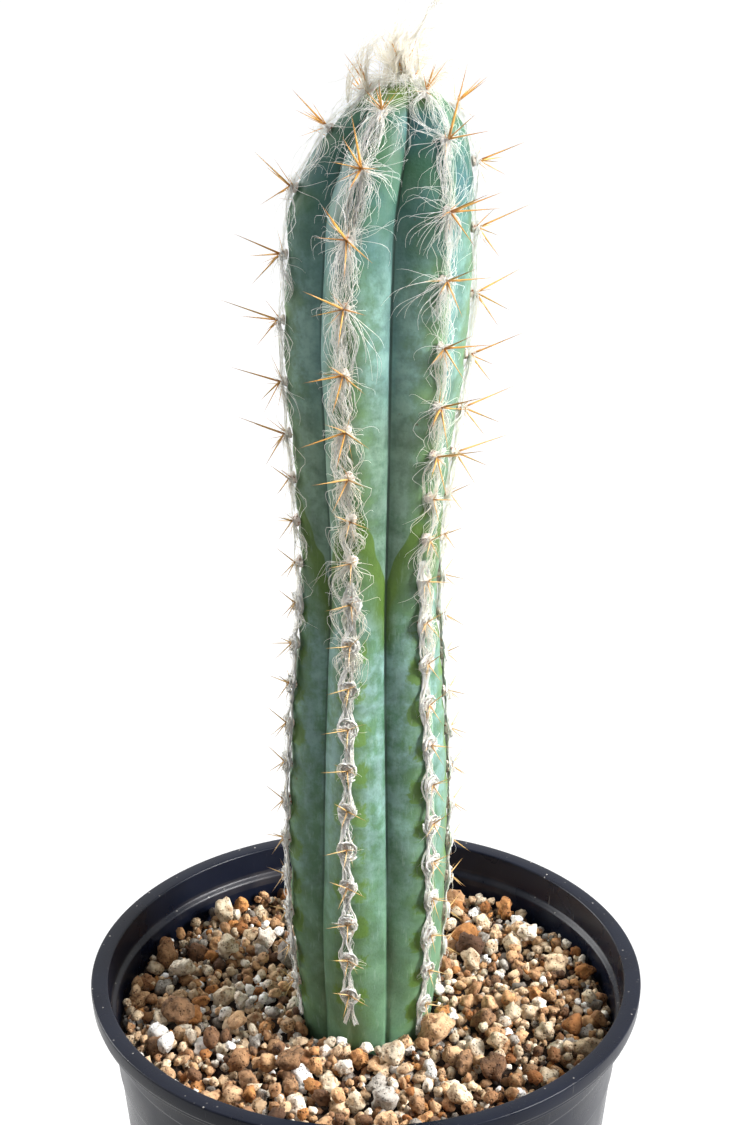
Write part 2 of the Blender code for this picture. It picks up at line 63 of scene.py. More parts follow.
WALL_RADIUS, WALL_HEIGHT, WALL_SIDES = 15.0, 25.0, 48
WHITE = "#FFFFFF"


def linear(code):
    """Linear RGBA of an sRGB hex colour: each channel c is c / 12.92 or ((c + 0.055) / 1.055) ** 2.4."""
    channels = [int(code[i:i + 2], 16) / 255 for i in (1, 3, 5)]
    return (*[c / 12.92 if c <= 0.04045 else ((c + 0.055) / 1.055) ** 2.4 for c in channels], 1.0)


def add_node(material, kind, inputs=(), **settings):
    """Adds a node: settings are its properties, and inputs its values or the sockets that feed it."""
    made = material.node_tree.nodes.new(kind)
    for key, value in settings.items():
        setattr(made, key, value)
    for key, value in dict(inputs).items():
        if isinstance(value, bpy.types.NodeSocket):
            material.node_tree.links.new(value, made.inputs[key])
        else:
            made.inputs[key].default_value = value
    return made


def new_material(name, **values):
    """Material with a Principled BSDF; values set its sockets, with _ for a space in their names."""
    material = bpy.data.materials.new(name)
    material.use_nodes = True
    shader = material.node_tree.nodes["Principled BSDF"]
    for key, value in values.items():
        shader.inputs[key.replace("_", " ")].default_value = value
    return material, shader


def band(material, value, low, high, bottom=0.0, top=1.0):
    """Value mapped from low..high to bottom..top, and held at the ends."""
    return add_node(material, "ShaderNodeMapRange", {
        "Value": value, "From Min": low, "From Max": high, "To Min": bottom, "To Max": top}).outputs[0]


def link(material, socket, shader, name):
    """Feeds a socket to the named input of a shader."""
    material.node_tree.links.new(socket, shader.inputs[name])


def add_light(name, energy, size, place):
    """Square soft light at a place, aimed at the middle of the plant."""
    light = bpy.data.lights.new(name, "AREA")
    light.energy = energy
    light.size = size
    holder = bpy.data.objects.new(name, light)
    holder.matrix_world = (Matrix.Translation(place)
                           @ (Vector(place) - AIM).to_track_quat("Z", "Y").to_matrix().to_4x4())
    bpy.context.scene.collection.objects.link(holder)


camera = bpy.data.objects.new("camera", bpy.data.cameras.new("camera"))
camera.data.lens = LENS
camera.data.sensor_width = SENSOR
camera.location = CAMERA_PLACE
camera.rotation_euler = (math.pi / 2 - CAMERA_PITCH, 0, 0)
bpy.context.scene.collection.objects.link(camera)
bpy.context.scene.camera = camera
bpy.context.scene.view_settings.view_transform = "Standard"
add_light("key_light", **KEY_LIGHT)
add_light("fill_light", **FILL_LIGHT)
add_light("rim_light", **RIM_LIGHT)
world = bpy.data.worlds.new("studio")
world.use_nodes = True
backdrop = world.node_tree.nodes["Background"]
backdrop.inputs["Color"].default_value = linear(WHITE)
backwards = add_node(world, "ShaderNodeSeparateXYZ", {
    0: add_node(world, "ShaderNodeTexCoord").outputs["Generated"]}).outputs["Y"]
link(world, band(world, backwards, *WORLD_SPAN, WORLD_FRONT, WORLD_BACK), backdrop, "Strength")
bpy.context.scene.world = world


def add_stage(name, points, faces, glow):
    """White glowing surface of the studio, which gives no diffuse light and isn't part of the object."""
    mesh = bpy.data.meshes.new(name)
    mesh.from_pydata(points, [], faces)
    mesh.materials.append(new_material(
        f"white_{name}", Base_Color=FLOOR_GREY, Roughness=1.0,
        Emission_Color=linear(WHITE), Emission_Strength=glow)[0])
    surface = bpy.data.objects.new(name, mesh)
    surface.visible_diffuse = False
    bpy.context.scene.collection.objects.link(surface)
    return surface


add_stage("floor", [(x * FLOOR_HALF, y * FLOOR_HALF, 0) for x, y in ((-1, -1), (1, -1), (1, 1), (-1, 1))],
          [(0, 1, 2, 3)], FLOOR_GLOW)
wall_turns = [2 * math.pi * side / WALL_SIDES for side in range(WALL_SIDES)]
wall = add_stage("wall", [(WALL_RADIUS * math.cos(turn), WALL_RADIUS * math.sin(turn), z)
                          for z in (0, WALL_HEIGHT) for turn in wall_turns],
                 [(side, side + WALL_SIDES, (side + 1) % WALL_SIDES + WALL_SIDES, (side + 1) % WALL_SIDES)
                  for side in range(WALL_SIDES)], WALL_GLOW)
wall.visible_glossy = wall.visible_transmission = wall.visible_shadow = False

# Pot: a nursery pot of black polypropylene, injection moulded in one piece. Its lip is turned out
# and down, a ledge inside lets pots stack, and the thin wall tapers to a flat base with drain holes.
POT_HEIGHT = RIM
RIM_RADIUS = 0.0825
MOUTH_RADIUS = 0.0774
LIP_HEIGHT = 0.0062
LIP_WALL = 0.0014
COLLAR_RADIUS = 0.0785
LEDGE_DEPTH = 0.0085
LEDGE_SLOPE = 0.0012
MOUTH_BEVEL = 0.0006
LIP_DROP = (0.0046, 0.0049)
LIP_DRAFT = (0.0003, 0.0007, 0.0008, 0.0005)
FOOT_BEVEL = 0.0012
WALL_TOP_RADIUS = 0.0752
BASE_RADIUS = 0.0630
POT_WALL = 0.0015
FLOOR_THICKNESS = 0.0025
STEP_DEPTHS = (0.0150, 0.0276)
STEP_WIDTH = 0.0004
DRAIN_HOLES = 6
DRAIN_RADIUS = 0.0055
DRAIN_CIRCLE = 0.046
DRAIN_SIDES = 32
CUTTER_HALF = 0.01
POT_SIDES = 216
POT_ROUNDING = 0.0006
ROUNDING_STEPS = 4
DUST_HALF_WIDTH = 0.0022


def rounded(profile, radius, steps):
    """Profile with each inner corner replaced by a quadratic arc that starts and ends radius away."""
    points = [np.array(profile[0], float)]
    for before, corner, after in zip(profile, profile[1:], profile[2:]):
        corner = np.array(corner, float)
        arms = [np.array(end, float) - corner for end in (before, after)]
        reach = [arm * min(radius / np.linalg.norm(arm), 0.45) for arm in arms]
        for t in np.linspace(0, 1, steps):
            points.append(corner + reach[0] * (1 - t) ** 2 + reach[1] * t * t)
    return np.array(points + [np.array(profile[-1], float)])


def grid_faces(rows, columns):
    """Corners of the quads of a grid whose columns close on themselves, facing out if rows go up."""
    row, column = np.meshgrid(np.arange(rows - 1), np.arange(columns), indexing="ij")
    after = (column + 1) % columns
    quads = [row * columns + column, row * columns + after,
             (row + 1) * columns + after, (row + 1) * columns + column]
    return np.stack(quads, axis=-1).reshape(-1, 4)


def fan_faces(ring, centre, flip):
    """Triangles from each side of a ring to a centre."""
    sides = np.stack([ring, np.roll(ring, -1), np.full(len(ring), centre)], axis=-1)
    return sides[:, ::-1] if flip else sides


def turned(profile, sides):
    """Turned solid: (r, z) becomes the ring (r cos a, r sin a, z), and the two ends lie on the axis."""
    radius, height = profile[::-1][1:-1].T
    turn = np.arange(sides) * 2 * math.pi / sides
    rings = np.stack(np.broadcast_arrays(radius[:, None] * np.cos(turn), radius[:, None] * np.sin(turn),
                                         height[:, None]), axis=-1)
    points = np.concatenate([rings.reshape(-1, 3), [(0, 0, profile[-1][1]), (0, 0, profile[0][1])]])
    count = len(radius) * sides
    caps = [fan_faces(np.arange(sides), count, True),
            fan_faces(np.arange(count - sides, count), count + 1, False)]
    return points, [grid_faces(len(radius), sides), *caps]


def add_mesh(name, points, face_groups, **attributes):
    """Smooth mesh object from points, groups of faces of equal size, and attributes of one float a point."""
    corners = np.concatenate([group.ravel() for group in face_groups]).astype(np.int32)
    sizes = np.concatenate([np.full(len(group), group.shape[1]) for group in face_groups])
    mesh = bpy.data.meshes.new(name)
    mesh.vertices.add(len(points))
    mesh.vertices.foreach_set("co", np.asarray(points, np.float32).ravel())
    mesh.loops.add(len(corners))
    mesh.loops.foreach_set("vertex_index", corners)
    mesh.polygons.add(len(sizes))
    mesh.polygons.foreach_set("loop_start", np.concatenate(([0], np.cumsum(sizes)[:-1])).astype(np.int32))
    mesh.update(calc_edges=True)
    mesh.shade_smooth()
    for key, values in attributes.items():
        layer = mesh.attributes.new(key, "FLOAT", "POINT")
        layer.data.foreach_set("value", np.asarray(values, np.float32).ravel())
    piece = bpy.data.objects.new(name, mesh)
    bpy.context.scene.collection.objects.link(piece)
    return piece


def finish_piece(piece, material, slot, *nodes):
    """The piece gets its material, rides on the one body and stands for its CAD nodes."""
    piece.data.materials.clear()
    piece.data.materials.append(material)
    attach(piece, "root")
    if nodes:
        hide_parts(*nodes)


def wall_radius(z):
    """Outer radius of the tapering wall at a height."""
    inner_base = BASE_RADIUS - POT_WALL
    slope = (WALL_TOP_RADIUS - inner_base) / (POT_HEIGHT - LEDGE_DEPTH - FLOOR_THICKNESS)
    return BASE_RADIUS + slope * (z - FLOOR_THICKNESS)


pot_section = [
    (0, FLOOR_THICKNESS), (BASE_RADIUS - POT_WALL, FLOOR_THICKNESS),
    (WALL_TOP_RADIUS, RIM - LEDGE_DEPTH - LEDGE_SLOPE), (MOUTH_RADIUS - MOUTH_BEVEL, RIM - LEDGE_DEPTH),
    (MOUTH_RADIUS, RIM), (RIM_RADIUS, RIM), (RIM_RADIUS - LIP_DRAFT[0], RIM - LIP_DROP[0]),
    (RIM_RADIUS - LIP_DRAFT[1], RIM - LIP_DROP[1]), (RIM_RADIUS - LIP_DRAFT[2], RIM - LIP_HEIGHT),
    (RIM_RADIUS - LIP_WALL - LIP_DRAFT[3], RIM - LIP_HEIGHT), (RIM_RADIUS - LIP_WALL, RIM - LIP_WALL),
    (COLLAR_RADIUS, RIM - LIP_WALL),
]
for number, depth in enumerate(STEP_DEPTHS):
    proud = wall_radius(RIM - depth) + STEP_WIDTH * (len(STEP_DEPTHS) - number)
    pot_section += [(proud, RIM - depth), (proud - STEP_WIDTH, RIM - depth - STEP_WIDTH)]
pot_section += [(BASE_RADIUS, FLOOR_THICKNESS), (BASE_RADIUS - FOOT_BEVEL, 0), (0, 0)]


def mix(material, share, first, second, blend="MIX"):
    """Colour between two colours or sockets, by a share from 0 to 1."""
    return add_node(material, "ShaderNodeMix", {0: share, 6: first, 7: second},
                    data_type="RGBA", blend_type=blend).outputs[2]


def combine(material, first, second, kind="MULTIPLY"):
    """Result of a Math node of two values."""
    return add_node(material, "ShaderNodeMath", {0: first, 1: second}, operation=kind).outputs[0]


def object_place(material):
    """Place on the object, in metres."""
    return add_node(material, "ShaderNodeTexCoord").outputs["Object"]


def noise(material, where, scale, detail=3.0, rough=0.5, distortion=0.0):
    """Noise value at a scale, in cells to the metre."""
    return add_node(material, "ShaderNodeTexNoise", {
        "Vector": where, "Scale": scale, "Detail": detail, "Roughness": rough,
        "Distortion": distortion}).outputs["Fac"]


def stretched(material, where, scale, turn=(0, 0, 0)):
    """Place turned and then scaled, so that a noise read there runs in streaks."""
    return add_node(material, "ShaderNodeMapping", {
        "Vector": where, "Rotation": turn, "Scale": scale}).outputs[0]


def cells(material, where, scale):
    """Voronoi cells: Distance from a cell's middle, and Color, one random draw a cell."""
    return add_node(material, "ShaderNodeTexVoronoi", {"Vector": where, "Scale": scale}).outputs


def bump(material, shader, height, strength, distance):
    """Roughens the shader's surface by a height value, over a distance in metres."""
    made = add_node(material, "ShaderNodeBump", {
        "Height": height, "Strength": strength, "Distance": distance})
    link(material, made.outputs[0], shader, "Normal")


plastic, shader = new_material(
    "black_polypropylene_moulded", IOR=1.49, Roughness=0.34, Specular_IOR_Level=0.19)
# Polypropylene with carbon black: nearly black, with a soft gloss, fine mould grain, pale scuffs on its
# sides and grey dust that clings to the top of the lip and the ledge.
place = object_place(plastic)
normal_z = add_node(plastic, "ShaderNodeSeparateXYZ", {
    0: add_node(plastic, "ShaderNodeNewGeometry").outputs["Normal"]}).outputs["Z"]
height = add_node(plastic, "ShaderNodeSeparateXYZ", {0: place}).outputs["Z"]
smears = noise(plastic, place, 55.0, 5.0)
lines = noise(plastic, stretched(plastic, place, (90, 90, 5), (0.5, 0.3, 0.2)), 9.0, 3.0, 0.7)
scuffs = band(plastic, lines, 0.66, 0.74, 0.0, 0.35)
specks = cells(plastic, place, 620.0)
speck_mask = combine(plastic, band(plastic, specks["Distance"], 0.22, 0.12),
                     band(plastic, specks["Color"], 0.74, 0.80))
speck_up = combine(plastic, speck_mask, band(plastic, normal_z, 0.3, 0.9))
ledge_band = add_node(plastic, "ShaderNodeMath", {
    0: height, 1: RIM - LEDGE_DEPTH - LEDGE_SLOPE, 2: DUST_HALF_WIDTH}, operation="COMPARE").outputs[0]
ledge_level = band(plastic, combine(plastic, ledge_band, smears), 0.45, 0.75, 0.0, 0.10)
base = mix(plastic, smears, linear("#070A14"), linear("#131827"))
scuffed = mix(plastic, scuffs, base, linear("#6B6864"))
dusted = mix(plastic, ledge_level, scuffed, linear("#8A7F72"))
link(plastic, mix(plastic, speck_up, dusted, linear("#97938F")), shader, "Base Color")
link(plastic, band(plastic, smears, 0.3, 0.7, 0.22, 0.36), shader, "Roughness")
bump(plastic, shader, noise(plastic, place, 1800.0, 2.0), 0.12, 0.0002)

pot = add_mesh("pot_shell", *turned(rounded(pot_section, POT_ROUNDING, ROUNDING_STEPS), POT_SIDES))
cutter_section = np.array([(0, CUTTER_HALF), (DRAIN_RADIUS, CUTTER_HALF),
                           (DRAIN_RADIUS, -CUTTER_HALF), (0, -CUTTER_HALF)])
cutter_points, cutter_faces = turned(cutter_section, DRAIN_SIDES)
for number in range(DRAIN_HOLES):
    turn = (number + 0.5) * 2 * math.pi / DRAIN_HOLES
    offset = np.array((DRAIN_CIRCLE * math.cos(turn), DRAIN_CIRCLE * math.sin(turn), 0))
    cutter = add_mesh("drain_cutter", cutter_points + offset, cutter_faces)
    drain = pot.modifiers.new("drain", "BOOLEAN")
    drain.object = cutter
    cut = bpy.data.meshes.new_from_object(pot.evaluated_get(bpy.context.evaluated_depsgraph_get()))
    pot.modifiers.clear()
    pot.data = cut
    bpy.data.objects.remove(cutter)
finish_piece(pot, plastic, "black_plastic", "pot")

# Stem: one grown column with six ribs that meet in sharp grooves. The skin is smooth and leathery,
# under a blue-white bloom of wax that is rubbed or grown thin where the green shows through.
RIBS = 6
STEM_PROFILE = (
    (-0.060, 0.0090), (-0.045, 0.0140), (-0.030, 0.0176), (-0.012, 0.0205), (0.000, 0.0219),
    (0.020, 0.0235), (0.045, 0.0241), (0.075, 0.0233), (0.100, 0.0216), (0.125, 0.0199),
    (0.150, 0.0212), (0.180, 0.0240), (0.200, 0.0251), (0.225, 0.0246),
)
GROOVE_PROFILE = (
    (-0.060, 0.02), (-0.030, 0.05), (0.000, 0.13), (0.060, 0.235), (0.125, 0.22),
    (0.180, 0.225), (0.225, 0.24), (0.262, 0.24),
)
CREST_ROUNDING = 0.25
ROOT_END = STEM_PROFILE[0][0]
SHOULDER_HEIGHT = 0.225
APEX_HEIGHT = 0.262
FRONT_RIB_ANGLE = math.radians(-13.5)
RIB_TWIST = math.radians(-6.0)
TWIST_START = 0.130
TWIST_LENGTH = 0.080
STEM_OFFSET = 0.0008
STEM_LEAN = 0.0050
LEAN_START = 0.090
LEAN_POWER = 1.6
TIP_LEAN = 0.0040
RIB_COLUMNS = 24
AREOLE_START = 0.0088
AREOLE_STAGGER = 0.0064
AREOLE_SPACING = 0.0122
AREOLE_SPACING_TOP = 0.0175
SPACING_GROWTH = (0.160, 0.055)
TIP_CROWDING = (0.80, 0.009, 0.012)
OLD_GROWTH_TOP = 0.140
YOUNG_GROWTH = 0.185
LOWEST_AREOLE = -0.004
WOOL_END = 0.0021
CREST_SAMPLES = 800
CREASE_DEPTH = 0.00045
CREASE_HALF_WIDTH = 0.0007
PIT_DEPTH = 0.0007
PIT_RADIUS = 0.0034
LUMP_HEIGHT = 0.00028
FOLD_DEPTH = 0.0002
MEAN_RADIUS = 0.024
BLOOM_END = 0.1555
BLOOM_TONGUE = 0.0265
BLOOM_THIN, BLOOM_THICK, GROOVE_BLUE = "#5A7D72", "#86AA9F", "#80A7A6"
LOW_THIN, LOW_THICK, SCRATCH = "#4E765A", "#7E9F98", "#A2BAAE"
BASE_DARK, BASE_PALE = "#44694A", "#779A7A"
CREST_DARK, CREST_PALE = "#577846", "#7C9C6C"
# DEEP_GREEN and DEEP_BLUE darken the top: partly the young tissue's own colour, partly painted shade.
DEEP_GREEN, DEEP_BLUE = "#305F3C", "#2C5F63"
OLIVE_DARK, OLIVE_PALE = "#3B571C", "#5B7832"
PATCH_DARK, PATCH_PALE = "#4A6928", "#6C8E3E"
FRESH_DARK, FRESH_PALE = "#3A6328", "#88A042"
# FOLD and CREASE are painted shade, for the folds under the areoles and the creases of the grooves.
SCAR, FOLD, CREASE, WAIST_TINT = "#5A4A34", "#3F6040", "#22392C", "#F2EBD9"


def smooth_through(points, position):
    """Value at a position on the cubic through (position, value) points, with slopes from neighbours."""
    known, values = np.array(points).T
    slopes = np.gradient(values, known)
    left = np.clip(np.searchsorted(known, position) - 1, 0, len(known) - 2)
    span = known[left + 1] - known[left]
    t = np.clip((position - known[left]) / span, 0, 1)
    rise = t * t * (3 - 2 * t)
    start_slope = t * (1 - t) ** 2 * span * slopes[left]
    end_slope = t * t * (t - 1) * span * slopes[left + 1]
    return values[left] + rise * (values[left + 1] - values[left]) + start_slope + end_slope


def ease(value, start, length):
    """0 before start, 1 after start + length, and an even S curve between them."""
    t = np.clip((value - start) / length, 0, 1)
    return t * t * (3 - 2 * t)


def crest_radius(height):
    """Distance from the stem's axis to a rib's crest: the profile, then an elliptic dome."""
    t = np.clip((height - SHOULDER_HEIGHT) / (APEX_HEIGHT - SHOULDER_HEIGHT), 0, 1)
    return smooth_through(STEM_PROFILE, np.minimum(height, SHOULDER_HEIGHT)) * np.sqrt(1 - t * t)


def rib_angle(rib, height):
    """Angle of a rib's crest from the front towards +X, which turns a little above the waist."""
    turn = RIB_TWIST * ease(height, TWIST_START, TWIST_LENGTH)
    return FRONT_RIB_ANGLE + turn + rib * 2 * math.pi / RIBS


def stem_centre(height):
    """X of the stem's axis, which leans to +X above the waist and again at the tip."""
    bend = np.maximum(height - LEAN_START, 0) / (APEX_HEIGHT - LEAN_START)
    tip = ease(height, SHOULDER_HEIGHT, APEX_HEIGHT - SHOULDER_HEIGHT)
    return STEM_OFFSET + STEM_LEAN * bend ** LEAN_POWER + TIP_LEAN * tip


def from_crest(height, angle):
    """Number of the nearest rib, and the place across it from -1 through the crest at 0 to 1."""
    place = (angle - rib_angle(0, height)) * RIBS / (2 * math.pi)
    return np.round(place).astype(int) % RIBS, 2 * (place - np.round(place))


def stem_point(height, angle, relief=0.0):
    """Point of the skin: radius R (1 - g f(s)) plus a relief.

    f is a hyperbola, which gives a round crest between flat flanks.
    """
    across = from_crest(height, angle)[1]
    groove = smooth_through(GROOVE_PROFILE, height)
    arch = np.hypot(across, CREST_ROUNDING) - CREST_ROUNDING
    arch = arch / (math.hypot(1, CREST_ROUNDING) - CREST_ROUNDING)
    radius = crest_radius(height) * (1 - groove * arch) + relief
    x = stem_centre(height) + radius * np.sin(angle)
    return np.stack(np.broadcast_arrays(x, -radius * np.cos(angle), RIM + height), axis=-1)


def crest_line(rib):
    """Heights down a rib's crest from the apex, with the distance along it to each."""
    t = np.linspace(0, 1, CREST_SAMPLES)
    heights = APEX_HEIGHT - (APEX_HEIGHT - LOWEST_AREOLE + 2 * WOOL_END) * t ** 2
    points = stem_point(heights, rib_angle(rib, heights))
    steps = np.linalg.norm(np.diff(points, axis=0), axis=1)
    return heights, np.concatenate(([0], np.cumsum(steps)))


def youth(height):
    """0 on the old growth below the waist, 1 on the young growth near the tip."""
    return ease(height, OLD_GROWTH_TOP, YOUNG_GROWTH - OLD_GROWTH_TOP)


def areole_distances(rib):
    """Distances down the crest to the areoles, which stagger from one rib to the next.

    They stand wider apart on young growth, but crowd together at the tip.
    """
    heights, along = crest_line(rib)
    distance = AREOLE_START + AREOLE_STAGGER * ((rib + 1) % 2)
    crowding, crowd_start, crowd_length = TIP_CROWDING
    found = []
    while np.interp(distance, along, heights) > LOWEST_AREOLE and distance < along[-1]:
        found.append(distance)
        wide = float(ease(np.interp(distance, along, heights), *SPACING_GROWTH))
        spacing = AREOLE_SPACING + (AREOLE_SPACING_TOP - AREOLE_SPACING) * wide
        distance += spacing * (crowding + (1 - crowding) * float(ease(distance, crowd_start, crowd_length)))
    return np.array(found)


def waves(x, y, seed, count=6, fine=0.012):
    """Soft lumps of about unit height: a sum of sine waves of random direction, length and phase."""
    draw = np.random.default_rng(seed)
    total = 0
    for turn, start, length in zip(*draw.uniform(0, 2 * math.pi, (2, count)), draw.uniform(1, 3, count)):
        run = x * math.cos(turn) + y * math.sin(turn)
        total = total + np.sin(run * 2 * math.pi / (fine * length) + start)
    return total / math.sqrt(count)


def stem_grid():
    """Heights and angles of the skin's grid, closer together in the grooves and over the dome."""
    buried = np.linspace(ROOT_END, -0.016, 10)
    shown = np.linspace(-0.015, SHOULDER_HEIGHT, 300)
    rise = np.sin(np.linspace(0, 0.98, 40)[1:] * math.pi / 2)
    dome = SHOULDER_HEIGHT + (APEX_HEIGHT - SHOULDER_HEIGHT) * rise
    heights = np.concatenate((buried, shown, dome))[:, None]
    q = (np.arange(RIB_COLUMNS) + 0.5) / RIB_COLUMNS * 2 - 1
    across = 0.55 * np.sin(q * math.pi / 2) + 0.45 * q
    turns = (np.arange(RIBS)[:, None] * 2 + across).ravel() * math.pi / RIBS
    return heights, rib_angle(0, heights) + turns


heights, angles = stem_grid()
rib_of, across = from_crest(heights, angles)
side_way = across * crest_radius(heights) * math.pi / RIBS
areole_nearness = np.zeros_like(across)
below_areole = np.zeros_like(across)
stains = np.zeros_like(across)
for rib in range(RIBS):
    line_heights, line_along = crest_line(rib)
    areole_heights = np.interp(areole_distances(rib), line_along, line_heights)
    gaps = heights - areole_heights
    closest = np.argmin(np.abs(gaps), axis=1)[:, None]
    nearest = np.take_along_axis(gaps, closest, axis=1)
    mine = rib_of == rib
    strength = np.random.default_rng(70 + rib).uniform(0.62, 1.15, (len(areole_heights), 2))
    stain = np.exp(-((nearest + 0.0025) / 0.0052) ** 2) * strength[closest, (across > 0).astype(int)]
    spot = np.exp(-(nearest ** 2 + side_way ** 2) / PIT_RADIUS ** 2)
    fold = np.exp(-((nearest - 0.0050 - 0.35 * np.abs(side_way)) / 0.0011) ** 2 - (side_way / 0.005) ** 2)
    areole_nearness = np.where(mine, spot, areole_nearness)
    below_areole = np.where(mine, fold, below_areole)
    stains = np.where(mine, stain, stains)
crease = np.exp(-((1 - np.abs(across)) * crest_radius(heights) * math.pi / RIBS / CREASE_HALF_WIDTH) ** 2)
round_way = angles * MEAN_RADIUS
lumps = waves(round_way, heights, 3) * (1 - crease)
relief = (LUMP_HEIGHT * lumps - CREASE_DEPTH * crease - PIT_DEPTH * areole_nearness
          - FOLD_DEPTH * below_areole) * ease(heights, ROOT_END, 0.03)

# Where the wax is thin: along the crests, in a tongue round each crest at the waist, in patches low down
flank = np.abs(across) * np.ones_like(heights)
wandering = waves(round_way, heights, 8, count=9, fine=0.006)
bloom_end = BLOOM_END - BLOOM_TONGUE * flank ** 1.3 + 0.0010 * wandering
edge = (bloom_end - heights) * 1000
beside = np.exp(-((flank - 0.26) / 0.27) ** 2)
patches = beside * stains * (1 - ease(heights, 0.105, 0.035))
fresh = ease(heights, 0.2545, 0.006) * np.ones_like(across)

skin_rows = stem_point(heights, angles, relief)
columns = skin_rows.shape[1]
count = skin_rows.shape[0] * columns
apex = stem_point(APEX_HEIGHT, 0.0, 0.0)
root = (STEM_OFFSET, 0, RIM + ROOT_END)
skin_points = np.concatenate([skin_rows.reshape(-1, 3), [apex, root]])
skin_faces = [grid_faces(skin_rows.shape[0], columns),
              fan_faces(np.arange(count - columns, count), count, False),
              fan_faces(np.arange(columns), count + 1, True)]


def per_point(values, ends=(0, 0)):
    """Values of the skin's grid followed by those of its two end points."""
    return np.concatenate([np.broadcast_to(values, across.shape).ravel(), ends])


stem = add_mesh(
    "stem_skin", skin_points, skin_faces, flank=per_point(flank), crease=per_point(crease),
    fresh=per_point(fresh, (1, 0)), fold=per_point(below_areole), edge=per_point(edge, (-100, 100)),
    patch=per_point(patches))

skin, shader = new_material(
    "waxy_cactus_skin", IOR=1.42, Roughness=0.5, Subsurface_Weight=0.05,
    Subsurface_Radius=(0.0010, 0.0018, 0.0010), Subsurface_Scale=1.0)
# Leathery epidermis under wax: blue-white where the wax is thick, mid green where it is thin, painted shade
# that darkens the creases and the folds under the areoles, with vertical streaks, faint scratches, freckles
# and a few corky scars.


def shifted(material, value, random, size):
    """Value moved up or down by a noise, by up to about half the size."""
    return combine(material, value, band(material, random, 0.2, 0.8, -size / 2, size / 2), "ADD")


def attribute(material, name):
    """Value of a mesh attribute."""
    return add_node(material, "ShaderNodeAttribute", attribute_name=name).outputs["Fac"]


place = object_place(skin)
level = add_node(skin, "ShaderNodeSeparateXYZ", {0: place}).outputs["Z"]
flank_in, crease_in, fresh_in, fold_in, edge_value, patch_in = (
    attribute(skin, key) for key in ("flank", "crease", "fresh", "fold", "edge", "patch"))
mottle = noise(skin, place, 170.0, 7.0, 0.66)
cloud = noise(skin, place, 48.0)
streaks = noise(skin, stretched(skin, place, (1.0, 1.0, 0.12)), 300.0, 4.0, 0.6)
scratches = noise(skin, stretched(skin, place, (1.0, 1.0, 0.15), (0.6, 0.5, 0.9)), 1100.0, 2.0, 0.7)
old_part = band(skin, shifted(skin, level, cloud, 0.03), RIM + 0.190, RIM + 0.095)
bloom_noise = combine(skin, combine(skin, mottle, 1.5), combine(skin, streaks, 0.5), "ADD")
bloom_level = band(skin, bloom_noise, 0.84, 1.16)
upper = mix(skin, bloom_level, linear(BLOOM_THIN), linear(BLOOM_THICK))
lower = mix(skin, bloom_level, linear(LOW_THIN), linear(LOW_THICK))
groove_bloom = combine(skin, band(skin, flank_in, 0.70, 0.98), 0.55)
upper = mix(skin, groove_bloom, upper, linear(GROOVE_BLUE))
waxed = mix(skin, old_part, upper, lower)
base_part = band(skin, shifted(skin, level, cloud, 0.05), RIM + 0.074, RIM + 0.008, 0.0, 0.95)
waxed = mix(skin, base_part, waxed, mix(skin, mottle, linear(BASE_DARK), linear(BASE_PALE)))
waist_level = combine(skin, band(skin, level, RIM + 0.190, RIM + 0.172),
                      band(skin, level, RIM + 0.112, RIM + 0.132))
waxed = mix(skin, waist_level, waxed, linear(WAIST_TINT), "MULTIPLY")
crest_level = band(skin, shifted(skin, flank_in, mottle, 0.9), 0.62, 0.05, 0.0, 0.9)
crest_level = combine(skin, crest_level, band(skin, level, RIM + 0.118, RIM + 0.150, 0.65, 1.0))
greened = mix(skin, crest_level, waxed, mix(skin, cloud, linear(CREST_DARK), linear(CREST_PALE)))
# Darker teal-green over the top: partly the young tissue's own colour, partly painted shade.
young_and_shaded_top = band(skin, shifted(skin, level, cloud, 0.02), RIM + 0.202, RIM + 0.240, 0.0, 0.85)
marbling = noise(skin, place, 75.0, 4.0, 0.6, 1.4)
greened = mix(skin, 1.0, greened, band(skin, marbling, 0.32, 0.68, 0.80, 1.12), "MULTIPLY")
deep = mix(skin, band(skin, cloud, 0.40, 0.60), linear(DEEP_GREEN), linear(DEEP_BLUE))
greened = mix(skin, young_and_shaded_top, greened, deep)
edge_in = band(skin, shifted(skin, edge_value, mottle, 1.6), -0.3, 0.6)
edge_out = band(skin, shifted(skin, edge_value, cloud, 14.0), 24.0, 9.0)
olive_colour = mix(skin, mottle, linear(OLIVE_DARK), linear(OLIVE_PALE))
olived = mix(skin, combine(skin, edge_in, edge_out), greened, olive_colour)
blots = noise(skin, place, 230.0, 5.0, 0.6, 1.5)
patch_level = band(skin, shifted(skin, patch_in, blots, 0.9), 0.50, 0.70, 0.0, 0.85)
patched = mix(skin, patch_level, olived, mix(skin, cloud, linear(PATCH_DARK), linear(PATCH_PALE)))
scratch_level = combine(skin, band(skin, scratches, 0.60, 0.70, 0.0, 0.22), old_part)
scratched = mix(skin, scratch_level, patched, linear(SCRATCH))
freckles = band(skin, cells(skin, place, 850.0)["Distance"], 0.12, 0.42, 0.91, 1.0)
freckled = mix(skin, 1.0, scratched, freckles, "MULTIPLY")
scars = cells(skin, place, 210.0)
scar_spot = combine(skin, band(skin, scars["Distance"], 0.10, 0.05), band(skin, scars["Color"], 0.76, 0.80))
scarred = mix(skin, combine(skin, scar_spot, 0.75), freckled, linear(SCAR))
# Painted shade: the fold under each areole is darkened towards FOLD green.
fold_shaded = mix(skin, combine(skin, fold_in, 0.55), scarred, linear(FOLD))
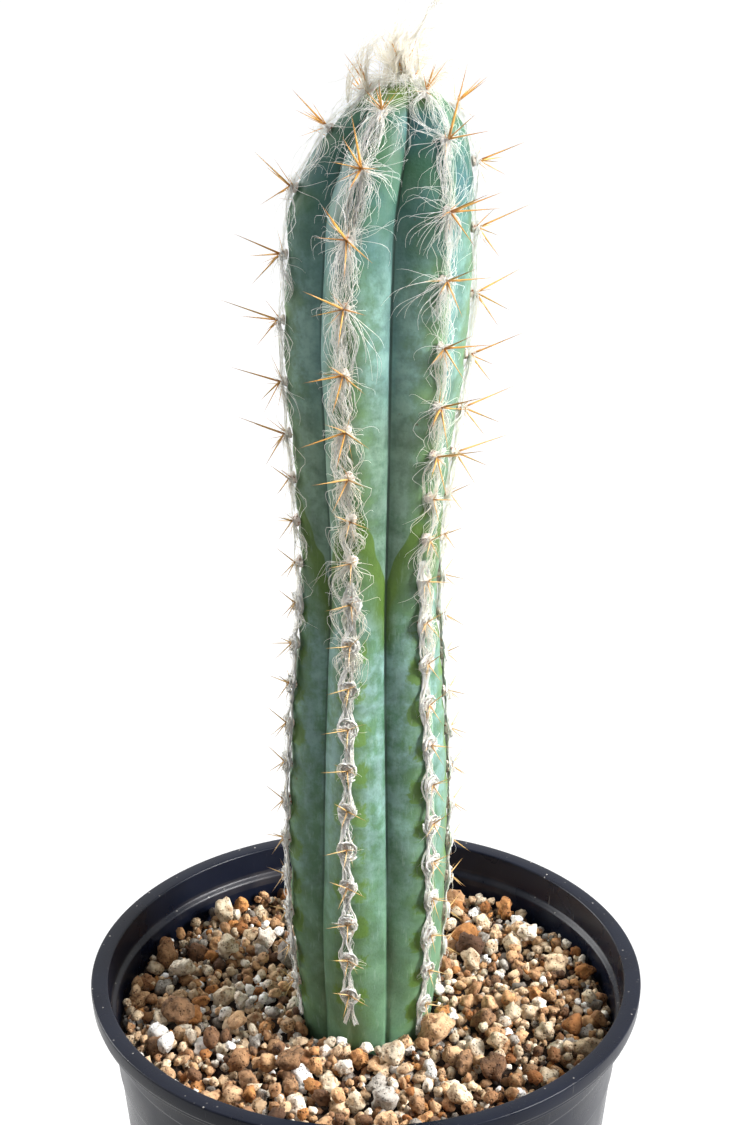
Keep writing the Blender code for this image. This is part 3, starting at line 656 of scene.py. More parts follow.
# Painted shade: the creases of the grooves are darkened towards CREASE green, less so near the soil.
crease_painted_shade = combine(skin, band(skin, crease_in, 0.45, 1.0), band(skin, level, RIM, RIM + 0.07, 0.25, 0.9))
crease_shaded = mix(skin, crease_painted_shade, fold_shaded, linear(CREASE))
young_skin = mix(skin, fresh_in, crease_shaded, mix(skin, mottle, linear(FRESH_DARK), linear(FRESH_PALE)))
link(skin, young_skin, shader, "Base Color")
link(skin, band(skin, bloom_level, 0.0, 1.0, 0.42, 0.56), shader, "Roughness")
fine_relief = combine(skin, noise(skin, place, 1500.0), combine(skin, streaks, mottle, "ADD"), "ADD")
bump(skin, shader, fine_relief, 0.35, 0.0002)
finish_piece(stem, skin, "cactus_skin", "stem")

# Spines: stiff needles that grow in each areole, long and amber on young growth, short and straw
# coloured on the old. The main ones stand where the solid spines stand, with finer ones between.
WOOL_GAP = 0.00035
SPINE_ROOT = 0.0012
SPINE_RADIUS = 0.00038
YOUNG_SPINES = ((64, 15, 0.0150), (38, -95, 0.0120), (30, 100, 0.0085), (36, 190, 0.0110))
OLD_SPINES = ((42, 40, 0.0070), (34, -100, 0.0075), (40, 165, 0.0065))
SPINE_SPREAD = 14
LEAN_SPREAD = 6
LOW_LEAN = 60
LENGTH_SPREAD = (0.85, 1.1)
TIP_REACH = 0.030
TIP_RISE = 30
TIP_TURN = 1.3
TIP_SHORTENING = 0.25
YOUNG_SHARE = 0.4
SPINE_SEED = 5
LONG_SPINES = {(0, 1): (42, -14, 0.0150), (0, 2): (40, -22, 0.0130), (1, 1): (34, 4, 0.0190),
               (1, 2): (36, 60, 0.0140), (0, 3): (34, -60, 0.0120)}
FINE_SPINES = 3
FINE_LENGTHS = (0.0030, 0.0062)
FINE_RADIUS = 0.00013
FINE_LEANS = (12, 50)
FRAME_STEP = 0.0004
SPINE_TAPER = (0.97, 1.3)
SPINE_TONE = 0.45
SPINE_STEPS = 6
SPINE_SIDES = 6


def crest_frame(rib, height):
    """Point on a rib's crest with its outward, sideways and upward directions."""
    bottom, point, top = (stem_point(h, rib_angle(rib, h))
                          for h in (height - FRAME_STEP, height, height + FRAME_STEP))
    up = Vector(top - bottom).normalized()
    angle = rib_angle(rib, height)
    side = Vector((math.cos(angle), math.sin(angle), 0))
    out = side.cross(up).normalized()
    return Vector(point), out, up.cross(out), up


def tubes(paths, radii, sides):
    """Closed tubes: round each point of paths (n, steps, 3) a ring of corners of radius radii (n, steps).

    The ring stands square to the path, and a direction square to the whole path keeps it from turning.
    """
    count, steps = paths.shape[:2]
    run = np.gradient(paths, axis=1)
    run /= np.linalg.norm(run, axis=-1, keepdims=True) + 1e-12
    chord = paths[:, -1] - paths[:, 0]
    across = np.cross(chord, np.roll(chord, 1, axis=-1) + (1e-5, 2e-5, 3e-5))
    u = np.cross(across[:, None, :], run)
    u /= np.linalg.norm(u, axis=-1, keepdims=True) + 1e-12
    v = np.cross(run, u)
    turn = np.arange(sides) * 2 * math.pi / sides
    ring = u[:, :, None] * np.cos(turn)[:, None] + v[:, :, None] * np.sin(turn)[:, None]
    points = paths[:, :, None] + ring * radii[:, :, None, None]
    first = np.arange(count)[:, None] * steps * sides
    walls = (first[:, :, None] + grid_faces(steps, sides)).reshape(-1, 4)
    starts = first + np.arange(sides)[::-1]
    ends = first + (steps - 1) * sides + np.arange(sides)
    return points.reshape(-1, 3), [walls, np.concatenate([starts, ends])]


def spread_to_points(values, steps, sides):
    """One value a tube, or one a step of each tube, given to every corner of its rings."""
    values = np.asarray(values, float)
    values = values[:, None] if values.ndim == 1 else values
    return np.repeat(np.broadcast_to(values, (len(values), steps)), sides, axis=1)


def rib_spines(rib):
    """Roots, directions, lengths, radii, youth and bend of a rib's spines, the main ones as in the solids."""
    draw = random.Random(SPINE_SEED + rib)
    extra = random.Random(100 + rib)
    heights, along = crest_line(rib)
    spines = []
    for place, distance in enumerate(areole_distances(rib)):
        height = float(np.interp(distance, along, heights))
        point, out, side, up = crest_frame(rib, height)

        def heading(lean, turn, rise=1.0):
            """Direction that leans off the skin and turns from up towards the side, in degrees."""
            lean, turn = math.radians(lean), math.radians(turn)
            flat = side * math.sin(turn) + up * math.cos(turn) * rise
            return (out * math.sin(lean) + flat * math.cos(lean)).normalized()

        root = point + out * (WOOL_GAP + SPINE_ROOT)
        if (rib, place) in LONG_SPINES:
            lean, turn, length = LONG_SPINES[rib, place]
            spines.append((root, heading(lean, turn), length, SPINE_RADIUS, 1.0, 0.02))
        near_tip = 1 - float(ease(distance, AREOLE_START, TIP_REACH))
        mirror = draw.choice((-1, 1))
        young = float(youth(height))
        for lean, turn, length in YOUNG_SPINES if young > YOUNG_SHARE else OLD_SPINES:
            lean += draw.uniform(-LEAN_SPREAD, LEAN_SPREAD) + TIP_RISE * near_tip * (lean < LOW_LEAN)
            turn = mirror * turn + draw.uniform(-SPINE_SPREAD, SPINE_SPREAD)
            direction = heading(lean, turn, 1 - TIP_TURN * near_tip)
            length *= draw.uniform(*LENGTH_SPREAD) * (1 - TIP_SHORTENING * near_tip)
            radius = SPINE_RADIUS * (0.58 + 0.20 * (length > 0.01))
            spines.append((root, direction, length, radius, young, extra.uniform(-0.05, 0.05)))
        for number in range(FINE_SPINES):
            lean = extra.uniform(*FINE_LEANS)
            turn = 360 * (number + extra.uniform(0, 0.9)) / FINE_SPINES
            length = extra.uniform(*FINE_LENGTHS) * (1 + 0.5 * young)
            start = point + out * (WOOL_GAP + 0.3 * SPINE_ROOT)
            spines.append((start, heading(lean, turn), length, FINE_RADIUS, young, extra.uniform(-0.1, 0.1)))
    return [np.array(column) for column in zip(*spines)]


def add_spines(name, roots, directions, lengths, radii, young, bends, tones):
    """One piece of needles, each of radius r (1 - a t^b) along a path that bends sideways by t^2.

    Its attributes are the place along each needle, its youth and its tone.
    """
    t = np.linspace(0, 1, SPINE_STEPS)
    bend_way = np.cross(directions, (0.3, 0.2, 0.93))
    paths = (roots[:, None] + directions[:, None] * (lengths[:, None] * t)[..., None]
             + bend_way[:, None] * (bends[:, None] * lengths[:, None] * t * t)[..., None])
    share, power = SPINE_TAPER
    points, faces = tubes(paths, radii[:, None] * (1 - share * t ** power), SPINE_SIDES)
    values = {"along": np.tile(t, (len(lengths), 1)), "young": young, "tone": tones}
    spread = {key: spread_to_points(value, SPINE_STEPS, SPINE_SIDES) for key, value in values.items()}
    finish_piece(add_mesh(name, points, faces, **spread), amber, "spined_wool")


amber, shader = new_material("amber_spine", IOR=1.5, Roughness=0.34)
# Horny spine tissue: amber with a paler yellow middle and a brown root and tip on young growth,
# dull straw on the old, smooth with a soft gloss.
along, young, tone = (attribute(amber, key) for key in ("along", "young", "tone"))
bands = combine(amber, band(amber, along, 0.0, 0.22, 1.0, 0.0), band(amber, along, 0.55, 1.0), "MAXIMUM")
new_growth = mix(amber, bands, linear("#E0A040"), linear("#9A561E"))
old_growth = mix(amber, bands, linear("#D8B27A"), linear("#9A6C3C"))
aged = mix(amber, young, old_growth, new_growth)
link(amber, mix(amber, tone, aged, linear("#E0B868")), shader, "Base Color")

for rib in range(RIBS):
    roots, directions, lengths, radii, young_values, bends = rib_spines(rib)
    tones = np.random.default_rng(rib).uniform(0, SPINE_TONE, len(lengths))
    add_spines(f"spines_rib_{rib + 1}", roots, directions, lengths, radii, young_values, bends, tones)

# Wool: fine hair that grows from each areole. On young growth it is white and silky, and its locks fall
# from areole to areole; on the old it is cream, matted into cords that part and curl round each areole.
HAIR_RADIUS = 0.000085
HAIR_TAPER = 0.55
WISP_RADIUS = 0.000062
CORD_RADIUS = 0.00015
HAIR_STEPS = 12
WISP_STEPS = 9
TUFT_STEPS = 6
SWEEP_STEPS = 12
LANE_AIMS = (-0.0011, 0.0007, -0.0004, 0.0006, -0.0008, 0.0004)
NET_HAIRS = (26, 18, 18, 11, 12, 15)
NET = (1, 0.0, 0.00075, (0.8, 1.9), 0.0020)
CLUMPS = (5, 3, 2, 2, 2, 2)
CLUMP = (9, 0.00034, 0.00018, (0.6, 1.4), 0.0016)
TUFT_HAIRS = 26
SWEEP_HAIRS = 7
SWEEP_CHANCE = 0.25
SWEEPS = {(0, 3): (0.90, 0.022), (1, 2): (-1.15, 0.013), (1, 3): (-1.30, 0.017), (0, 1): (1.1, 0.012)}
TIP_HAIR = (0.200, 0.045)
WAIST_HAIR = (0.130, 0.045)
THINNING = (0.128, 0.050)
HAIR_END = 0.114
CORD_TOP = 0.128
CORDS = 9
CORD_HAIRS = 4
CORD_STEPS = 7
CORD_SPREAD = 0.00021
CORD_TWIST, LOOP_TWIST = 0.9, 7
CORD_ENDS = (0.006, 0.011)
CORD_WIDTHS = (0.0014, 0.0021)
ROPE_PINCH, PINCH_POWER = 0.42, 0.8
LOOSE_ENDS = (0.004, 0.010)
LOOSE_REACH = 0.0028
LOOP_OVAL = 1.35
WISPS, TIP_WISPS = 14, 26
WISP_LENGTHS = (0.004, 0.010)
TUFT_LENGTHS = (0.0020, 0.0048)
SWEEP_SPREAD = 0.16
CHANCE_HEADINGS, CHANCE_LENGTHS = (0.9, 1.6), (0.008, 0.020)
LOOSER = 0.6
LOOSE_CORDS = 4
LOOP_STEPS = 12
LOOPS = ((0.0021, 6.9), (0.0018, 6.6), (0.0013, 6.3), (0.0024, 3.6))
BEAD_ROWS = 5
BEAD_SIDES = 12
BEAD_WIDTH, BEAD_EXTRA_WIDTH = 0.0012, 0.0004
BEAD_TALL, BEAD_EXTRA_TALL = 0.0011, 0.0003
FUZZ_HAIRS, FUZZ_LENGTH = 8, 0.0055
OLDEST, AGEING = 0.9, (0.150, 0.085)
LOOP_AGE, CORD_AGE, LOOSE_AGE = 0.15, 0.2, 0.3
LOWEST_SHARE = 0.3
TIP_THINNING = 0.3
SKIN_STEP = 0.0005
LEAST_GIRTH = 0.006
SECOND_WAVE, SECOND_RATE = 0.6, 1.9
COMB_ROOTS, LOCK_ROOTS = 0.0005, 0.00035
LOCK_WAVE, HAIR_WAVE = 0.017, 0.0125
LOCK_SWAY = 0.00045
LOCK_LAYER, HAIR_LAYER = 0.0021, 0.0003


def skin_at(rib, distance, sideways, lift):
    """Points above the skin: the distance down a rib's crest, sideways from it and lifted square to it."""
    heights, along = crest_line(rib)

    def surface(distance, sideways):
        """Skin at a distance down the crest, turned round the axis by the sideways arc."""
        height = np.interp(distance, along, heights)
        height = height - np.maximum(distance - along[-1], 0)
        girth = np.maximum(crest_radius(height), LEAST_GIRTH)
        return stem_point(height, rib_angle(rib, height) + sideways / girth)

    down = surface(distance + SKIN_STEP, sideways) - surface(distance - SKIN_STEP, sideways)
    over = surface(distance, sideways + SKIN_STEP) - surface(distance, sideways - SKIN_STEP)
    out = np.cross(down, over)
    out /= np.linalg.norm(out, axis=-1, keepdims=True) + 1e-12
    return surface(distance, sideways) + out * np.asarray(lift)[..., None]


def relax(paths, rounds):
    """Paths with their kinks evened out: each inner point moves to the mean of itself and its neighbours."""
    for _ in range(rounds):
        paths = np.concatenate([paths[:, :1], (paths[:, :-2] + 2 * paths[:, 1:-1] + paths[:, 2:]) / 4,
                                paths[:, -1:]], axis=1)
    return paths


def sway(draw, count, run, size, wave, hairs=1):
    """Smooth wandering along a run, from 0: two random sine waves, shared by the hairs of a lock."""
    phase = np.repeat(draw.uniform(0, 2 * math.pi, (2, count, 1)), hairs, axis=1)
    rate = np.repeat(2 * math.pi / (wave * draw.uniform(0.7, 1.4, (2, count, 1))), hairs, axis=1)
    swing = np.sin(phase[0] + rate[0] * run) - np.sin(phase[0])
    second = np.sin(phase[1] + SECOND_RATE * rate[1] * run) - np.sin(phase[1])
    return size * (swing + SECOND_WAVE * second)


def comb(rib, distance, draw, start, turn_back, curl, length, lift, steps):
    """Hairs that leave an areole at a start heading, 0 being down the rib, times (1 - t)^turn_back."""
    count = len(start)
    t = np.linspace(0, 1, steps)
    heading = start[:, None] * (1 - t) ** turn_back + sway(draw, count, t, curl, 1.1)
    step = length[:, None] / (steps - 1)
    sideways = np.cumsum(np.sin(heading) * step, axis=1) - np.sin(heading[:, :1]) * step
    down = np.cumsum(np.cos(heading) * step, axis=1) - np.cos(heading[:, :1]) * step
    rooted = draw.normal(0, COMB_ROOTS, (2, count, 1))
    return relax(skin_at(rib, distance + down + rooted[0], sideways + rooted[1], lift(t)), 2)


def falling_locks(rib, number, distances, aim, count, kind, loose, draw):
    """Locks that fall from an areole past the next ones, drawn in where they pass them and loose in between.

    A hair's place across the rib is lane (1 - k n(d)) + sway(d), d being the distance down the crest, n(d) 1
    at an areole and 0 halfway to the next, and k how far the lock is drawn in.
    """
    hairs, apart, stray, reach, spread = kind
    gap = distances[min(number + 1, len(distances) - 1)] - distances[min(number, len(distances) - 2)]
    length = gap * np.repeat(draw.uniform(*reach, count), hairs) * draw.uniform(0.75, 1, count * hairs)
    down = length[:, None] * np.linspace(0, 1, HAIR_STEPS)
    phase = np.interp(distances[number] + down, distances, np.arange(len(distances)))
    near = 0.5 + 0.5 * np.cos(2 * math.pi * phase)
    drawn_in = np.repeat(draw.uniform(0.1, 0.8, count), hairs)[:, None]
    lane = np.repeat(draw.normal(aim, spread, count), hairs)[:, None]
    lane = lane + apart * draw.normal(size=(count * hairs, 1))
    side = (lane * (1 - drawn_in * near) + sway(draw, count, down, LOCK_SWAY * loose, LOCK_WAVE, hairs)
            + sway(draw, count * hairs, down, stray * loose, HAIR_WAVE))
    low = 0.25 if number < 2 else 0.5 if rib > 2 else 1.0
    layer = np.repeat(draw.uniform(0, LOCK_LAYER, count), hairs)[:, None]
    layer = layer + draw.uniform(0, HAIR_LAYER, (count * hairs, 1))
    lift = 0.0002 + 0.0005 * near + low * layer * np.sin(math.pi * np.linspace(0.15, 0.95, HAIR_STEPS))
    root = draw.normal(0, LOCK_ROOTS, (count * hairs, 1))
    side = side * ease(down, -0.0008, 0.0050) + root[::-1]
    return skin_at(rib, distances[number] + down + root, side, lift)


def young_hair(rib, number, distances, height, draw):
    """Groups of one young areole's hair, as (paths, radius): locks, wisps, a tuft and at times a sweep."""
    tip = float(ease(height, *TIP_HAIR))
    loose = 1 + LOOSER * (1 - float(ease(height, *WAIST_HAIR)))
    distance = distances[number]
    aim = LANE_AIMS[rib] * (1 - tip)
    full = LOWEST_SHARE + (1 - LOWEST_SHARE) * float(ease(height, *THINNING))
    net = int(NET_HAIRS[rib] * full * (1 - TIP_THINNING * tip) * (0.5 if number < 2 and rib > 1 else 1.0))
    groups = [(falling_locks(rib, number, distances, aim, net, NET, loose, draw), HAIR_RADIUS),
              (falling_locks(rib, number, distances, aim, CLUMPS[rib], CLUMP, loose, draw), HAIR_RADIUS)]
    wisps = int(WISPS * full + TIP_WISPS * tip)
    high = draw.uniform(0.0004, 0.0036, (wisps, 1))
    groups.append((comb(rib, distance, draw, draw.uniform(-math.pi, math.pi, wisps), 0.35, 0.45,
                        draw.uniform(WISP_LENGTHS[0], WISP_LENGTHS[1] * (1 + tip), wisps),
                        lambda t: 0.0010 + high * np.sin(2.3 * t), WISP_STEPS), WISP_RADIUS))
    tuft = int(TUFT_HAIRS * full)
    up = draw.uniform(0.0002, 0.0020, (tuft, 1))
    groups.append((comb(rib, distance, draw, draw.uniform(-math.pi, math.pi, tuft), 0.25, 0.5,
                        draw.uniform(*TUFT_LENGTHS, tuft),
                        lambda t: 0.0010 + up * np.sin(2.6 * t), TUFT_STEPS), HAIR_RADIUS))
    if (rib, number) in SWEEPS or draw.uniform() < SWEEP_CHANCE:
        by_chance = draw.choice((-1, 1)) * draw.uniform(*CHANCE_HEADINGS), draw.uniform(*CHANCE_LENGTHS)
        heading, length = SWEEPS.get((rib, number), by_chance)
        level = draw.uniform(0.0006, 0.0020)
        paths = comb(rib, distance, draw, heading + draw.normal(0, SWEEP_SPREAD, SWEEP_HAIRS), 0.3, 0.22,
                     length * draw.uniform(0.55, 1.15, SWEEP_HAIRS),
                     lambda t: 0.001 + level * np.sin(math.pi * t), SWEEP_STEPS)
        groups.append((relax(paths, 3), 1.2 * WISP_RADIUS))
    return groups


def bundle(draw, down, side, lift, twist):
    """Hairs that twist round the centre line of each cord, given by distance, side and lift (n, steps)."""
    cords, steps = side.shape
    count = cords * CORD_HAIRS
    phase = np.tile(np.arange(CORD_HAIRS) * 2 * math.pi / CORD_HAIRS, cords)[:, None] + draw.uniform(0, 6)
    turn = phase + np.linspace(0, twist, steps) + sway(draw, count, np.linspace(0, 1, steps), 0.6, 3 / twist)
    away = CORD_SPREAD * draw.uniform(0.45, 1.3, (count, 1))
    return (np.repeat(np.broadcast_to(down, side.shape), CORD_HAIRS, axis=0),
            np.repeat(side, CORD_HAIRS, axis=0) + away * np.cos(turn),
            np.repeat(lift, CORD_HAIRS, axis=0) + away * np.sin(turn))


def cord_paths(rib, old, draw):
    """Matted cords down the old growth: they part round each bead and are tied together between the beads.

    A cord's place across the rope is its own share of the bead's half width, blended from bead to bead.
    """
    beads = np.concatenate(([2 * old[0] - old[1]], old, [2 * old[-1] - old[-2]]))
    run = np.linspace(old[0] - CORD_ENDS[0], old[-1] + CORD_ENDS[1], (len(old) + 1) * CORD_STEPS)
    phase = np.clip(np.interp(run, beads, np.arange(len(beads))), 0, len(beads) - 1.001)
    near = 0.5 + 0.5 * np.cos(2 * math.pi * phase)
    above = phase.astype(int)
    turn = ease(phase - above, 0.22, 0.56)
    shares = draw.choice((-1, 1), (CORDS, len(beads))) * draw.uniform(0.35, 1.05, (CORDS, len(beads)))
    shares[1] = -np.sign(shares[0]) * 0.95
    wide = shares * draw.uniform(*CORD_WIDTHS, len(beads))
    place = wide[:, above] * (1 - turn) + wide[:, above + 1] * turn
    pinch = ROPE_PINCH + (1 - ROPE_PINCH) * near ** PINCH_POWER
    side = (place * pinch + sway(draw, 1, run, 0.00035, 0.030)
            + sway(draw, CORDS, run, 0.00016, 0.011))
    over = 1 - np.abs(shares)
    lift = 0.0003 + near * (0.0006 + 0.0008 * (over[:, above] * (1 - turn) + over[:, above + 1] * turn))
    lift = lift + np.abs(sway(draw, CORDS, run, 0.00018, 0.012))
    return skin_at(rib, *bundle(draw, run, side, lift, CORD_TWIST * len(run)))


def loose_cords(rib, old, draw):
    """Single strands that run down with the cords but stray from them and lift off the skin."""
    run = np.linspace(old[0] - LOOSE_ENDS[0], old[-1] + LOOSE_ENDS[1], (len(old) + 1) * CORD_STEPS)[None]
    side = sway(draw, LOOSE_CORDS, run, 0.00075, 0.016)
    lift = 0.0005 + np.abs(sway(draw, LOOSE_CORDS, run, 0.0005, 0.013))
    return skin_at(rib, np.broadcast_to(run, side.shape), np.clip(side, -LOOSE_REACH, LOOSE_REACH), lift)


def bead_loops(rib, distance, draw):
    """Cords curled round a bead in ovals (k r cos a, r sin a), taller than wide."""
    radius, sweep = np.array(LOOPS).T[:, :, None] * draw.uniform(0.85, 1.12, (2, len(LOOPS), 1))
    t = np.linspace(0, 1, LOOP_STEPS)
    turn = draw.uniform(0, 2 * math.pi, (len(LOOPS), 1)) + t * sweep * draw.choice((-1, 1), (len(LOOPS), 1))
    radius = radius * (1 - 0.2 * t)
    down, side, lift = bundle(draw, distance + LOOP_OVAL * radius * np.cos(turn), radius * np.sin(turn),
                              0.0011 + 0.0010 * t + 0 * turn, LOOP_TWIST)
    return skin_at(rib, down, side, lift)


def bead_surface(rib, distance, half_width, tall, draw):
    """Woolly cushion: a dome (u, v) -> half_width sin u round the areole, tall cos u above the skin."""
    u = np.linspace(0.08, 1.0, BEAD_ROWS)[:, None] * math.pi / 2
    v = np.arange(BEAD_SIDES) * 2 * math.pi / BEAD_SIDES
    swirl = 1 + 0.12 * np.sin(3 * v + 4 * u + draw.uniform(0, 6))
    reach = half_width * np.sin(u) * swirl
    lift = tall * np.cos(u) * (1 + 0.12 * np.sin(4 * v + draw.uniform(0, 6))) - 0.0002
    rows = skin_at(rib, distance + reach * np.cos(v) * 1.2, reach * np.sin(v), lift * np.ones_like(v))
    top = skin_at(rib, np.array([distance]), np.array([0.0]), np.array([tall]))
    return np.concatenate([rows[::-1].reshape(-1, 3), top])


def short_fuzz(rib, distance, draw):
    """Fine stray hairs of an old areole, arching off the wool in every direction."""
    up = draw.uniform(0.0002, 0.0022, (FUZZ_HAIRS, 1))
    return comb(rib, distance, draw, draw.uniform(-math.pi, math.pi, FUZZ_HAIRS), 0.3, 0.7,
                draw.uniform(0.3, 1, FUZZ_HAIRS) * FUZZ_LENGTH,
                lambda t: 0.0012 + up * np.sin(2.5 * t), TUFT_STEPS)


def add_hair(name, groups, *nodes):
    """One piece from groups of (paths, root radius, age, seed), each strand thinning to its tip."""
    all_points, all_faces, old_values, tone_values, first = [], {}, [], [], 0
    for paths, radius, age, seed in groups:
        count, steps = paths.shape[:2]
        thin = 1 - HAIR_TAPER * np.linspace(0, 1, steps) ** 2
        points, faces = tubes(paths, np.full((count, 1), radius) * thin, 3)
        for group in faces:
            all_faces.setdefault(group.shape[1], []).append(group + first)
        first += len(points)
        all_points.append(points)
        old_values.append(np.full(len(points), age))
        tones = np.random.default_rng(seed).uniform(0, 1, count)
        tone_values.append(spread_to_points(tones, steps, 3).ravel())
    face_groups = [np.concatenate(group) for group in all_faces.values()]
    piece = add_mesh(name, np.concatenate(all_points), face_groups,
                     old=np.concatenate(old_values), tone=np.concatenate(tone_values))
    finish_piece(piece, wool, "spined_wool", *nodes)


wool, shader = new_material(
    "silky_areole_wool", IOR=1.5, Roughness=0.5, Sheen_Weight=1.0, Subsurface_Weight=1.0,
    Subsurface_Radius=(1.0, 1.0, 1.0), Subsurface_Scale=0.0004)
# Plant hair: white while young and cream once old, each strand a little different, silky at its edges and
# so fine that light spreads through it.
tone = attribute(wool, "tone")
fresh_hair = mix(wool, tone, linear("#FFFFFA"), linear("#F8F1DA"))
old_hair = mix(wool, tone, linear("#FDF6E4"), linear("#EBDCB6"))
link(wool, mix(wool, attribute(wool, "old"), fresh_hair, old_hair), shader, "Base Color")

felt, shader = new_material("brown_areole_felt", IOR=1.45, Roughness=0.9)
# Short dense felt of an areole's middle, off-white with brown spots where spines have broken through.
place = object_place(felt)
spots = band(felt, noise(felt, place, 1100.0, 2.0), 0.56, 0.66)
link(felt, mix(felt, spots, linear("#F2E4DA"), linear("#8A4E2A")), shader, "Base Color")
bump(felt, shader, noise(felt, place, 2600.0, 3.0, 0.7), 0.8, 0.0003)

bead_count = BEAD_ROWS * BEAD_SIDES
bead_faces = [grid_faces(BEAD_ROWS, BEAD_SIDES),
              fan_faces(np.arange(bead_count - BEAD_SIDES, bead_count), bead_count, False),
              np.arange(BEAD_SIDES)[None, ::-1]]
for rib in range(RIBS):
    draw = np.random.default_rng(40 + rib)
    line_heights, line_along = crest_line(rib)
    distances = areole_distances(rib)
    heights_here = np.interp(distances, line_along, line_heights)
    groups = []
    bead_points, bead_quads = [], [[], [], []]
    for number, (distance, height) in enumerate(zip(distances, heights_here)):
        young = float(youth(height))
        age = OLDEST * (1 - float(ease(height, *AGEING)))
        if height > HAIR_END:
            for kind, (paths, radius) in enumerate(young_hair(rib, number, distances, height, draw)):
                groups.append((paths, radius, age, 100 * number + 10 * rib + kind))
        if height < CORD_TOP:
            groups.append((bead_loops(rib, distance, draw), CORD_RADIUS, LOOP_AGE, 11 * number + rib))
            groups.append((short_fuzz(rib, distance, draw), WISP_RADIUS, age, 12 * number + rib))
        wide = BEAD_WIDTH + BEAD_EXTRA_WIDTH * (1 - young)
        bead_points.append(bead_surface(rib, distance, wide, BEAD_TALL + BEAD_EXTRA_TALL * (1 - young), draw))
        for kind, faces in zip(bead_quads, bead_faces):
            kind.append(faces + number * len(bead_points[0]))
    old_ones = distances[heights_here < CORD_TOP + 0.004]
    groups.append((cord_paths(rib, old_ones, draw), CORD_RADIUS, CORD_AGE, 900 + rib))
    groups.append((loose_cords(rib, old_ones, draw), HAIR_RADIUS, LOOSE_AGE, 950 + rib))
    add_hair(f"wool_hair_rib_{rib + 1}", groups, f"wool_rib_{rib + 1}")
    beads = add_mesh(f"areole_felt_rib_{rib + 1}", np.concatenate(bead_points),
                     [np.concatenate(kind) for kind in bead_quads])
    finish_piece(beads, felt, "spined_wool")

# Growing tip: the youngest areoles crowd together, and their long white hair stands up as a plume
# that leans to the right, with a few soft yellow spines in it and shorter hair that falls round it.
PLUME_PROFILE = (
    (0.0000, 0.0056, 0.0000), (0.0020, 0.0050, 0.0000), (0.0040, 0.0037, 0.0000), (0.0075, 0.0030, -0.0003),
    (0.0115, 0.0024, 0.0004), (0.0148, 0.0015, 0.0022), (0.0178, 0.0005, 0.0048),
)
PLUME_TWIST = math.radians(60)
PLUME_LOCKS = 5
PLUME_LENGTH = 0.0120
PLUME_LENGTHS = (0.70, 1.0)
PLUME_ROOT = (0.0024, 0.0014)
PLUME_MIDDLE = (0.25, 0.55)
PLUME_TIP = (0.70, 0.85)
TIP_SPINES = 5
TIP_SPINE_LENGTH = 0.0120
TIP_SPINE_LENGTHS = (0.8, 1.1)
TIP_SPINE_LEAN = 0.6
TIP_SPINE_TURN = 0.3
FLAME_LOCKS = 18
FLAME_HAIRS = 12
LOCK_OF_PLUME = 26
SIDE_ARCS = (
    ((-0.0140, -0.0020, -0.0050), (-0.0150, -0.0010, 0.0080), (-0.0030, 0.0000, 0.0130)),
    ((-0.0090, -0.0040, -0.0020), (-0.0130, -0.0030, 0.0090), (-0.0060, 0.0010, 0.0150)),
    ((-0.0050, -0.0040, 0.0000), (-0.0030, -0.0060, 0.0140), (0.0090, -0.0010, 0.0190)),
    ((0.0060, -0.0040, -0.0010), (0.0120, -0.0040, 0.0080), (0.0150, -0.0020, -0.0010)),
)
SIDE_HAIRS = 22
SIDE_SPREAD = 0.0009
PLUME_SPREAD = 0.0011
SKIRT_LOCKS = 46
SKIRT_HAIRS = 4
SKIRT_SPREAD = 0.0008
FLAME_FRAY, HAIR_FRAY = 0.0030, 0.0005
PLUME_STEPS = 12


def curl(draw, count, run, size, wave, hairs=1):
    """Wandering of hairs in all three directions along their run (count, steps)."""
    return np.stack([sway(draw, count, run, size, wave, hairs) for _ in range(3)], axis=-1)


def flame_hair(draw, base):
    """Hairs of the plume, in locks: each keeps its share of the profile's radius as it climbs, and frays."""
    known, radii, leans = np.array(PLUME_PROFILE).T
    count = FLAME_LOCKS * FLAME_HAIRS
    t = np.linspace(0, 1, PLUME_STEPS)

    def shared(values):
        """One value a lock, given to all its hairs."""
        return np.repeat(values, FLAME_HAIRS, axis=0)

    rise = known[-1] * shared(draw.uniform(0.6, 1.15, (FLAME_LOCKS, 1)))
    rise = rise * draw.uniform(0.85, 1.05, (count, 1)) * t
    share = shared(np.sqrt(draw.uniform(0.04, 1, (FLAME_LOCKS, 1)))) + draw.normal(0, 0.04, (count, 1))
    angle = shared(draw.uniform(0, 2 * math.pi, (FLAME_LOCKS, 1))) + draw.normal(0, 0.08, (count, 1))
    angle = angle + PLUME_TWIST * rise / known[-1]
    radius = share * (np.interp(rise, known, radii) + 0.0014 * t)
    lean = np.interp(rise, known, leans) + np.maximum(rise - known[-1], 0) * 1.2
    core = np.stack([lean + radius * np.cos(angle), radius * np.sin(angle), rise], axis=-1)
    frayed = shared(draw.normal(0, FLAME_FRAY, (FLAME_LOCKS, 1, 3)))
    frayed = frayed + draw.normal(0, HAIR_FRAY, (count, 1, 3))
    bends = curl(draw, FLAME_LOCKS, rise, 0.0011, 0.013, FLAME_HAIRS)
    bends = bends + curl(draw, count, rise, 0.00035, 0.008)
    return np.array(base) + core + frayed * (t ** 2)[:, None] + bends * t[:, None]


